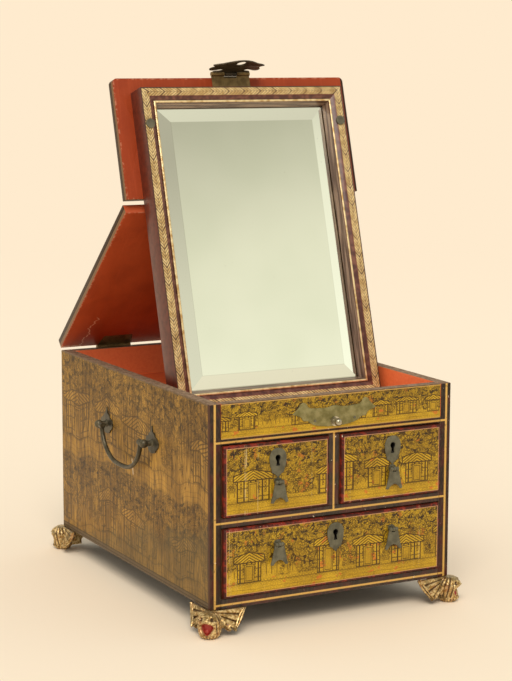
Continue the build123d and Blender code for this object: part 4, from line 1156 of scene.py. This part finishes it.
SCUTCHEON_HALF = [
    (0, 12.0), (5.6, 10.4), (8.8, 5.8), (9.5, 0.8), (8.9, -4.2), (7.4, -9.0), (6.6, -12.6, 1),
    (3.2, -14.6), (0, -18.4, 1),
]
KEYHOLE_HALF = [(0, 5.2), (2.1, 4.3), (2.9, 2.2), (2.2, 0.1), (1.5, -1.4), (2.1, -5.9, 1), (0, -6.0)]
for name in drawer_names:
    low, high = span(name + "_front")
    plate = flat_plate(
        name + "_escutcheon_cut", [both_halves(SCUTCHEON_HALF), both_halves(KEYHOLE_HALF)], SCUTCHEON_T, 0.3
    )
    plate.data.transform(upright((low.x + high.x) / 2, low.y - SCUTCHEON_T / 2, high.z - KEY_DOWN))
    dress(plate, mount_metal)
    add_to(plate, body_of[name + "_escutcheon"], slots[name + "_escutcheon"], name + "_escutcheon")
print("escutcheons:", len(drawer_names))

# %% Make the drawer pulls
PULL_T = 1.6
PULL_HALF = [
    (0, -2.8), (1.9, -2.8, 1), (1.9, 0.4, 1), (5.0, 0.4, 1), (5.6, -3.0), (6.9, -9.0), (8.3, -15.0),
    (9.9, -20.4, 1), (7.2, -21.2, 1), (4.0, -17.4), (0, -15.6, 1),
]
pull_nodes = [node for node in nodes if "_pull" in node and "eyes" not in node]
for node in pull_nodes:
    joint = joints[node + "_hinge"]
    x, y, z = (n / MM for n in joint["pos_m"])
    tail = flat_plate(node + "_tail", [both_halves(PULL_HALF)], PULL_T, 0.4)
    tail.data.transform(upright(x, y, z))
    rolls = [round_bar(node + "_roll", 2.1, a, b, 0.3) for a, b in ((-4.7, -1.7), (1.7, 4.7))]
    for bar in rolls:
        bar.data.transform(Matrix.Translation(Vector((x, y, z)) * MM))
    tail = joined(node + "_cut", [tail, *rolls])
    dress(tail, mount_metal)
    add_to(tail, body_of[node], slots[node], node)
print("pulls:", pull_nodes)

# %% Make the hasp's tongue
HASP_TURN = math.radians(110.1)
TONGUE_T, TONGUE_OUT = 1.5, 0.9
TONGUE_HALF = [
    (0, -2.9), (22.5, -2.9, 1), (20.5, -4.4), (14.6, -6.4), (13.0, -9.0), (14.8, -11.6), (19.5, -10.6),
    (24.5, -8.4), (29.0, -9.0), (30.2, -12.6), (28.4, -16.0), (27.0, -19.2), (31.0, -23.6, 1),
    (27.4, -26.0), (21.5, -28.4), (14.5, -33.0), (7.0, -36.6), (0, -37.6),
]
EYE_AT, EYE_HALF_WIDE, EYE_HALF_LONG = -29.4, 5.0, 5.8
eye = [
    (EYE_HALF_WIDE * math.cos(turn), EYE_AT + EYE_HALF_LONG * math.sin(turn))
    for turn in (math.radians(30 * step) for step in range(12))
]
hang = Matrix.Translation(hasp_pin * MM) @ Matrix.Rotation(math.pi / 2 - HASP_TURN, 4, "X")
tongue = flat_plate("hasp_tongue_plate", [both_halves(TONGUE_HALF), eye], TONGUE_T, 0.4)
tongue.data.transform(hang @ Matrix.Translation((0, 0, (TONGUE_OUT + TONGUE_T / 2) * MM)))
middle_low, middle_high = span("hasp_tongue")
neck = round_bar("hasp_tongue_roll", 2.4, -7.2, 7.2, 0.3)
neck.data.transform(hang)
bpy.ops.object.select_all(action="DESELECT")
bpy.ops.mesh.primitive_cube_add(size=1)
root = bpy.context.active_object
root.data.transform(
    hang @ Matrix.Translation(Vector((0, -2.0, 1.65)) * MM) @ Matrix.Diagonal((0.0144, 0.0040, 0.0015, 1))
)
tongue = joined("hasp_tongue_cut", [tongue, neck, root])
dress(tongue, dark_metal)
add_to(tongue, body_of["hasp_tongue"], slots["hasp_tongue"], "hasp_tongue")
plate_hang = Matrix.Translation(mid_pin * MM) @ Matrix.Rotation(-FRONT_TURN, 4, "X")
bpy.ops.object.select_all(action="DESELECT")
bpy.ops.mesh.primitive_cube_add(size=1)
tab = bpy.context.active_object
tab.name = "hasp_plate_tab"
tab.data.transform(
    plate_hang @ Matrix.Translation(Vector((0, -131.3, -13.2)) * MM) @ Matrix.Diagonal((0.0148, 0.0018, 0.0011, 1))
)
dress(tab, dark_metal)
add_to(tab, body_of["hasp_plate"], slots["hasp_plate"])
print("tab from", [round(n / MM, 1) for n in tab.bound_box[0]], "tongue height", round(middle_high.z - middle_low.z, 1))

# %% [markdown]
# ## Nodes that keep their own shape
#
# Some solids are already as good as they need to be, and only take a finish.

# %% Finish the remaining nodes
for node, thing in nodes.items():
    if thing.hide_render:
        continue
    slot_name = slots[node]
    if node == "mirror_glass":
        material = glass_paint
    elif node == "mirror_backboard":
        material = wood_paint
    elif slot_name == "hinge_brass":
        material = hinge_metal
    elif node == "lock_stud":
        material = stud_metal
    elif node.startswith(("bail_", "handle_")):
        material = bail_metal
    elif node == "hasp_pin":
        material = dark_metal
    elif node == "hasp_plate":
        material = hasp_plate_metal
    else:
        material = mount_metal
    dress(thing, material)
print("CAD nodes finished")

# %% [markdown]
# ## Floor, light and camera
#
# The floor is a wide pale sheet. One large soft sun and an even sky light it, so that the floor
# renders as the same cream as the background and only the box's shadow shows on it. The sky is
# a little darker overhead, which gives the mirror its slow change from top to bottom.

# %% Lay the floor
NEAR, FAR = 1500.0, 3400.0

bpy.ops.object.select_all(action="DESELECT")
bpy.ops.mesh.primitive_plane_add(size=60)
floor = bpy.context.active_object
floor.name = "floor"
floor_paint = Paint("pale_floor")
grain = floor_paint.noise(floor_paint.place, 0.004, 2.0) * 0.02
tone = floor_paint.mix(grain, srgb(255, 238, 212), srgb(240, 220, 195))
floor_paint.finish(tone, 0.9, Specular_IOR_Level=0.0)
away = floor_paint.node("VectorMath", {"operation": "LENGTH"}, [floor_paint.place], 1)
glow = floor_paint.node("Emission", None, {"Color": (*CREAM, 1.0), "Strength": 1.0})
near_part = Wire(floor_paint, floor_paint.shader.outputs[0])
faded = floor_paint.node("MixShader", None, [away.rise(NEAR, FAR), near_part, glow])
floor_paint.tree.links.new(faded.socket, floor_paint.tree.nodes["Material Output"].inputs["Surface"])
floor.data.materials.append(floor_paint.material)
print("the floor fades from", NEAR / 1000, "to", FAR / 1000, "m")

# %% Light the box
SUN_SHARE = 0.52
SKY_SHARE = 0.64


class SkyPaint(Paint):
    """The same formulas for the world's own nodes."""

    def __init__(self, world):
        world.use_nodes = True
        self.tree = world.node_tree


world = bpy.data.worlds.new("studio")
bpy.context.scene.world = world
sky = SkyPaint(world)
across = sky.node("SeparateXYZ", None, [sky.node("TexCoord")], 0)
height = Wire(sky, across.socket.node.outputs[2])
rays = sky.node("LightPath").socket.node.outputs
is_glossy = Wire(sky, rays["Is Glossy Ray"])
is_seen = Wire(sky, rays["Is Camera Ray"]).most(Wire(sky, rays["Is Transmission Ray"]))
room = sky.node(
    "ValToRGB",
    {
        "stops": [
            (0.10, (0.66, 0.55, 0.40)),
            (0.29, (1.0, 0.99, 0.82)),
            (0.38, (0.86, 0.84, 0.68)),
            (0.45, (0.52, 0.50, 0.40)),
            (0.52, (0.60, 0.57, 0.46)),
            (0.62, (0.80, 0.77, 0.62)),
            (0.85, (0.60, 0.57, 0.50)),
        ]
    },
    [height],
)
room = sky.mix(across.fall(0.28, 0.40) * 0.30, room, (0.24, 0.20, 0.14))
lit = sky.node("Background", None, {"Color": (0.95, 0.98, 0.98, 1.0), "Strength": SKY_SHARE})
mirrored = sky.node("Background", None, {"Color": room, "Strength": 1.0})
seen = sky.node("Background", None, {"Color": (*CREAM, 1.0), "Strength": 1.0})
blend = sky.node("MixShader", None, [is_glossy, lit, mirrored])
blend = sky.node("MixShader", None, [is_seen, blend, seen])
sky.tree.links.new(blend.socket, sky.tree.nodes["World Output"].inputs["Surface"])

sun_data = bpy.data.lights.new("window", "SUN")
sun_data.energy = math.pi * SUN_SHARE
sun_data.angle = math.radians(32)
sun_data.color = (1.05, 0.96, 0.87)
sun = bpy.data.objects.new("window", sun_data)
bpy.context.scene.collection.objects.link(sun)
sun.rotation_euler = Vector((-0.46, -0.78, 0.98)).to_track_quat("Z", "Y").to_euler()
print("lights ready")

# %% [markdown]
# The camera stands where the photographer's stood: a little above the box, to its front left,
# with a long lens.

# %% Place the camera
YAW, PITCH, ROLL = math.radians(27.779), math.radians(8.708), math.radians(0.16)
FOCUS_PIXELS, FRAME_TALL = 1893.9, 681
camera_data = bpy.data.cameras.new("camera")
camera_data.sensor_width = 36.0
camera_data.lens = FOCUS_PIXELS * camera_data.sensor_width / FRAME_TALL
camera = bpy.data.objects.new("camera", camera_data)
bpy.context.scene.collection.objects.link(camera)
turn = Matrix.Rotation(-YAW, 4, "Z") @ Matrix.Rotation(math.pi / 2 - PITCH, 4, "X")
turn = turn @ Matrix.Rotation(ROLL, 4, "Z")
camera.matrix_world = Matrix.Translation((-0.9434, -1.8133, 0.5477 + CASE_LOW * MM)) @ turn
bpy.context.scene.camera = camera
bpy.context.scene.view_settings.view_transform = "Standard"
print("lens:", round(camera_data.lens, 1))
